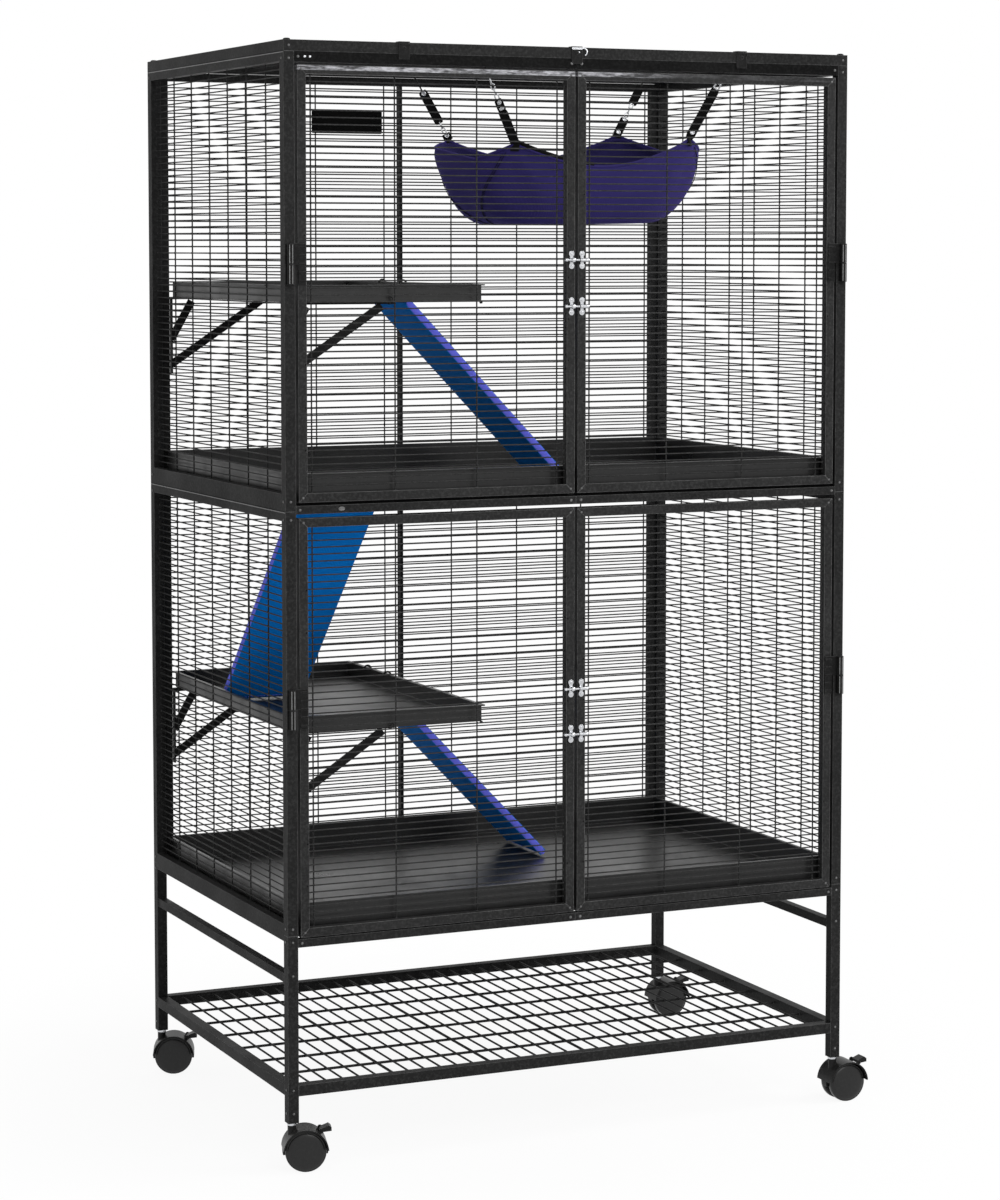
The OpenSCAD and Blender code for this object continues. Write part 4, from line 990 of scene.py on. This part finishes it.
def from_corner(t):
    """The angle from this quarter's corner, its share of the way, and the corner's number."""
    number = int(t / QUARTER) % 4
    away = t % (2 * math.pi) - corner_angle(number)
    to_end = (away < 0) == (number % 2 == 0)
    return away, min(1.0, abs(away) / (CORNER if to_end else QUARTER - CORNER)), number


def left_end_peak(t):
    """How high the rim stands along the left end, which falls slowly from its back corner."""
    along = (t % (2 * math.pi) - corner_angle(1)) / (2 * CORNER)
    if not 0 < along < 1:
        return 0.0
    slope = 1 - 0.8 * along ** 0.6
    return slope + (1 - slope) * max(0.0, (along - 0.84) / 0.16) ** 2


def bag_point(t, share, height):
    """A point of the hammock's skin, with peaks at its corners and folds fanning from them."""
    away, gone, number = from_corner(t)
    peak = max((1 - gone) ** 2, left_end_peak(t))
    point = math.exp(-(away / 0.16) ** 2)
    end = max(0.0, math.cos(2 * t))
    r = share * rounded(t) * (1 + CORNER_OUT * height ** 3 * point)
    side = away * r * HALF_LONG
    depth = (1 - height) * DEEP
    reach = math.hypot(side, depth)
    way = math.atan2(depth, side)
    fan = 3.4 * math.sin(5.0 * way + 1.3 * number) * math.exp(-(reach / 95) ** 2) \
        * min(1.0, reach / 26)
    slack = 1.5 * math.sin(3 * t + 1.1) * math.sin(math.pi * height) \
        + 0.9 * math.sin(7 * t + 0.4) * math.sin(math.pi * height) ** 2
    x, y = HALF_LONG * r * math.cos(t), HALF_WIDE * r * math.sin(t)
    out = Vector((x, y, 0)).normalized() * (fan + slack) if share > 0.3 else Vector()
    z = height * DEEP + height * height * (LIFT * peak + TILT_BACK * math.sin(t)) \
        - SAG * (1 - peak) * (1 - 0.7 * end) * height ** 4 \
        + TILT_RIGHT * x / HALF_LONG * (0.35 + 0.65 * height)
    return HAMMOCK_AT + Vector((x, y, z)) + out


def hammock_bed():
    """The bag: purple cloth outside, dark lining inside."""
    steps = 96
    shape = Shape()
    points, faces = [], []
    for share, height in BAG:
        points += [bag_point(2 * math.pi * i / steps, share, height) for i in range(steps)]
    for j in range(len(BAG) - 1):
        for i in range(steps):
            k = (i + 1) % steps
            faces.append([j * steps + i, j * steps + k, (j + 1) * steps + k, (j + 1) * steps + i])
    points.append(HAMMOCK_AT)
    last = (len(BAG) - 1) * steps
    faces += [[last + i, last + (i + 1) % steps, len(points) - 1] for i in range(steps)]
    shape.add(points, faces)
    bed = shape.piece("hammock_bed", "cage", [HAMMOCK_CLOTH, HAMMOCK_LINING], "hammock_cloth",
                      ["hammock"], crease=80)
    fine = bed.modifiers.new("soft_cloth", "SUBSURF")
    fine.levels = fine.render_levels = 1
    thick = bed.modifiers.new("cloth_and_lining", "SOLIDIFY")
    thick.thickness = 4.5 * MM
    thick.offset = -1.0
    thick.material_offset = 1
    thick.material_offset_rim = 1
    return bed


def hammock_trims():
    """The bound rim, and on each end the curved double seam that joins it to the long sides."""
    shape = Shape()
    steps = 192
    rim = [bag_point(2 * math.pi * i / steps, BAG[0][0], 1.0) + Vector((0, 0, 0.5))
           for i in range(steps)]
    tube(shape, rim, 2.3, 10, closed=True, slot=2)
    # Black facing that shows along the front rim, from its left corner
    tube(shape, [bag_point(corner_angle(2) + math.radians(k), BAG[0][0], 1.0)
                 + Vector((0, 1.0, 5.5 - 0.06 * k)) for k in range(1, 34, 2)], 3.6, 10)
    for number in range(4):
        corner = corner_angle(number)
        # Towards the middle of the nearer end, at angle 0 or half a turn
        way = 1 if number in (1, 3) else -1
        for shift in (-0.014, 0.014):
            seam = [bag_point(corner + way * (0.07 + 0.72 * (1 - height) ** 1.4) + shift,
                              share + 0.004, height) for share, height in BAG[1:13]]
            tube(shape, smooth_path(seam, 3), 0.6, 6, slot=1)
        # The webbing's end is folded over the corner and sewn on in front and behind
        top = bag_point(corner, BAG[0][0], 1.0)
        low = bag_point(corner, BAG[1][0] + 0.012, 0.93)
        tube(shape, [top + Vector((0, 0, 3.5)), top + (low - top) * 0.5 + Vector((0, 0, 1)), low],
             7.5, 14, flat=0.32)
    return shape.piece("hammock_seams", "cage", [WEBBING, STITCH, HAMMOCK_CLOTH],
                       "hammock_cloth")


# Middle of the lid's wires, and the radius, wire and clearance of a hook that hangs on one
LID_WIRE_Z = 1614.0
HANGER_R, HANGER_D, HANGER_GAP = 7.0, 2.4, 0.6
# The four hooks' places on the lid, from the hammock's middle
HOOK_X, HOOK_Y = 210.0, 139.5
# What a strap's plan calls its pieces' materials
CLOTH, BRIGHT, DARK = 0, 1, 2


def strap_ends(sx, sy):
    """Where a strap is sewn to the rim, and the middle of its hook's ring on the lid's mesh."""
    number = {(1, 1): 0, (-1, 1): 1, (-1, -1): 2, (1, -1): 3}[sx, sy]
    low = bag_point(corner_angle(number), BAG[0][0], 1.0) + Vector((0, 0, 1.0))
    high = Vector((HAMMOCK_AT.x + sx * HOOK_X, sy * HOOK_Y,
                   LID_WIRE_Z - HANGER_R + (HANGER_D + WIRE) / 2 + HANGER_GAP))
    return low, high


def strap_frame(low, high):
    """Z up the strap, X across it, Y its thickness; its face turns a little to the front."""
    z = (high - low).normalized()
    x = Vector((1, -0.25, 0))
    x -= z * z.dot(x)
    x.normalize()
    y = z.cross(x)
    m = Matrix((x, y, z)).transposed().to_4x4()
    m.translation = low
    return m


def band(shape, at, start, end, width, thick, ripple=0.0, slot=CLOTH, steps=14, corner=0.0):
    """A flat strip of webbing along Z with thicker selvedges."""
    profile = [(-0.5, -0.35), (-0.46, -0.55), (-0.40, -0.42), (0.0, -0.5), (0.40, -0.42),
               (0.46, -0.55), (0.5, -0.35), (0.5, 0.35), (0.46, 0.55), (0.40, 0.42),
               (0.0, 0.5), (-0.40, 0.42), (-0.46, 0.55), (-0.5, 0.35)]
    n = len(profile)
    points = []
    for i in range(steps + 1):
        f = i / steps
        z = start + (end - start) * f
        wave = ripple * math.sin(f * math.pi * 2.3)
        slim = 1.0 - corner * max(0.0, abs(2 * f - 1) - 0.86) / 0.14
        points += [at @ Vector((x * width * slim, y * thick + wave, z)) for x, y in profile]
    faces = [[i * n + k, i * n + (k + 1) % n, (i + 1) * n + (k + 1) % n, (i + 1) * n + k]
             for i in range(steps) for k in range(n)]
    faces += [list(range(n))[::-1], [steps * n + k for k in range(n)]]
    shape.add(points, faces, slot)


def eyelet(shape, at, z, radius=3.0):
    """A bright ring pressed through the webbing."""
    across = Matrix.Rotation(math.pi / 2, 4, "X")
    for face in (-1, 1):
        centre = at @ Matrix.Translation((0, face * 1.1, z)) @ across
        tube(shape, ring_path(centre, radius, 20), 0.95, 8, closed=True, slot=BRIGHT)
    bore = at @ Matrix.Translation((0, 1.3, z)) @ across
    lathe(shape, [(0, 0), (radius * 0.8, 0), (radius * 0.8, 2.6), (0, 2.6)], bore, 16, BRIGHT)


def snap(shape, at, start, end):
    """An oblong wire snap: two side rods, a little waisted, and three bars across."""
    half, waist, mid = 8.5 / 2, 8.5 / 2.3, (start + end) / 2
    for s in (-1, 1):
        tube(shape, [at @ Vector((s * half, 0, start)), at @ Vector((s * waist, 0, mid)),
                     at @ Vector((s * half, 0, end))], 1.3, 10)
    for z in (start, mid, end):
        tube(shape, [at @ Vector((-half, 0, z)), at @ Vector((half, 0, z))], 1.2, 10)


def chain(shape, at, start, end, count):
    """Short links between a snap and the next piece, each turned against the last."""
    step = (end - start) / count
    for k in range(count):
        z0 = start + k * step
        z1 = z0 + step + 1.6
        mid, half, w = (z0 + z1) / 2, (z1 - z0) / 2, 2.9
        loop = []
        for i in range(20):
            a = 2 * math.pi * i / 20
            out, z = w * math.cos(a), mid + half * math.sin(a)
            loop.append(at @ Vector((out, 0.0, z) if k % 2 == 0 else (0.0, out, z)))
        tube(shape, loop, 1.05, 8, closed=True)


def strap(tag, sx, sy, plan):
    """One strap from the rim to the lid, whose plan gives each piece and its span as shares."""
    low, high = strap_ends(sx, sy)
    at = strap_frame(low, high)
    reach = (high - low).length - HANGER_R
    cloth, metal = Shape(), Shape()
    for kind, a, b in plan:
        z0, z1 = a * reach, b * reach
        if kind == "web":
            band(cloth, at, z0, z1, 14.0, 1.7, ripple=0.5, corner=0.22)
        elif kind == "eyelet":
            eyelet(cloth, at, z0)
        elif kind == "snap":
            snap(metal, at, z0, z1)
        elif kind == "plate":
            band(cloth, at, z0, z1, 12.5, 2.6, corner=0.3, steps=6, slot=DARK)
            eyelet(cloth, at, z0 + (z1 - z0) * 0.72, 2.6)
            for dx in (-1.6, 0, 1.6):
                eyelet(cloth, at @ Matrix.Translation((dx, 0, 0)), z0 + (z1 - z0) * 0.25, 1.7)
        elif kind == "chain":
            chain(metal, at, z0, z1, max(2, round((z1 - z0) / 9)))
    # The open hook over the wire, across it, and its shank down to the strap
    ring = Matrix.Translation(high) @ Matrix.Rotation(math.pi / 2, 4, "Y")
    way = (high - low).normalized()
    foot = high - way * (HANGER_R + 5)
    local = ring.inverted() @ foot
    base = math.degrees(math.atan2(local.y, local.x))
    arc = ring_path(ring, HANGER_R, 26, base + 300, -296)
    tube(metal, arc + [foot, low + way * (reach * plan[-1][2] - 2)], HANGER_D / 2, 10, slot=1)
    made = cloth.piece(f"hammock_strap_{tag}", "cage", [WEBBING, ZINC, DARK_PLATE_AND_SEAM_SHADE], "webbing",
                       ["hammock_straps"], crease=50)
    metal.piece(f"hammock_hook_{tag}", "cage", [ZINC, DARK_STEEL], "zinc", ["hammock_hooks"])
    return made


bed = hammock_bed()
seams = hammock_trims()
# Which side and end each strap is on, and what it is made of from the rim up
STRAPS = {
    "back_left": (-1, 1, [("web", 0.0, 0.1), ("eyelet", 0.07, 0.07), ("chain", 0.1, 0.26),
                          ("eyelet", 0.69, 0.69), ("web", 0.25, 0.73)]),
    "front_left": (-1, -1, [("web", 0.0, 0.42), ("plate", 0.4, 0.56), ("chain", 0.55, 0.8)]),
    "back_right": (1, 1, [("web", 0.0, 0.3), ("eyelet", 0.06, 0.06), ("eyelet", 0.28, 0.28),
                          ("chain", 0.31, 0.54), ("web", 0.54, 0.86)]),
    "front_right": (1, -1, [("web", 0.0, 0.73), ("eyelet", 0.09, 0.09), ("snap", 0.72, 0.87)]),
}
straps = [strap(tag, *spec) for tag, spec in STRAPS.items()]


# ------------------------------------------------------------------ studio

def background_rays(w):
    """1 for the rays of the camera and those that metal and glass send on, which see white."""
    rays = w.node("ShaderNodeLightPath").outputs
    seen = w.math("MAXIMUM", rays["Is Camera Ray"], rays["Is Glossy Ray"])
    return w.math("MAXIMUM", seen, rays["Is Transmission Ray"])


def paper(name, tone, shadow_share):
    """Pale paper that shows as white, apart from soft shadows near the cage."""
    material, w, shader = start_finish(name)
    tree = material.node_tree
    where = w.node("ShaderNodeTexCoord").outputs["Object"]
    speckle = w.noise(where, 3.0, 6.0, 0.6).outputs["Fac"]
    w.feed(shader.inputs["Base Color"], w.mix(w.spread(speckle, 0.3, 0.7, 0.0, 1.0), grey(tone),
                                              grey(tone + 0.02)))
    shader.inputs["Roughness"].default_value = 0.9
    away = w.node("ShaderNodeVectorMath", {0: where}, operation="LENGTH").outputs["Value"]
    fade = w.node("ShaderNodeMapRange", {"Value": away, "From Min": 0.45, "From Max": 1.2,
                                         "To Min": shadow_share, "To Max": 0.0},
                  interpolation_type="SMOOTHSTEP").outputs["Result"]
    glow = w.node("ShaderNodeEmission", {"Color": grey(1.0), "Strength": 1.0})
    share = w.math("MULTIPLY", background_rays(w), w.math("SUBTRACT", 1.0, fade))
    blend = w.node("ShaderNodeMixShader", {0: share})
    w.feed(blend.inputs[1], shader.outputs["BSDF"])
    w.feed(blend.inputs[2], glow.outputs["Emission"])
    w.feed(tree.nodes["Material Output"].inputs["Surface"], blend.outputs["Shader"])
    return material


def studio():
    """The paper floor, a white world and two softboxes."""
    reach, n = 9000.0, 24
    row = n + 1
    points = [(reach * (2 * i / n - 1), reach * (2 * j / n - 1), 0.0)
              for j in range(row) for i in range(row)]
    faces = [[j * row + i, j * row + i + 1, (j + 1) * row + i + 1, (j + 1) * row + i]
             for j in range(n) for i in range(n)]
    mesh = bpy.data.meshes.new("studio_floor")
    mesh.from_pydata([Vector(p) * MM for p in points], [], faces)
    mesh.materials.append(paper("pale_floor", 0.9, 0.08))
    floor = bpy.data.objects.new("studio_floor", mesh)
    bpy.context.scene.collection.objects.link(floor)

    world = bpy.data.worlds.new("white_studio")
    bpy.context.scene.world = world
    world.use_nodes = True
    w = Wiring(world.node_tree)
    ground = world.node_tree.nodes["Background"]
    ground.inputs["Color"].default_value = grey(1.0)
    w.feed(ground.inputs["Strength"], w.spread(background_rays(w), 0.0, 1.0, 0.62, 1.0))

    def lamp(name, at, target, size, power):
        data = bpy.data.lights.new(name, "AREA")
        data.shape = "RECTANGLE"
        data.size, data.size_y = size
        data.energy = power
        made = bpy.data.objects.new(name, data)
        made.location = at
        made.rotation_euler = (Vector(target) - Vector(at)).to_track_quat("-Z", "Y").to_euler()
        bpy.context.scene.collection.objects.link(made)

    lamp("key_softbox", (0.4, -4.4, 3.0), (0, 0, 0.9), (2.4, 2.0), 85)
    lamp("right_softbox", (3.3, -1.4, 3.1), (0.1, 0, 0.9), (1.8, 2.4), 95)
    bpy.context.scene.view_settings.view_transform = "Standard"


studio()
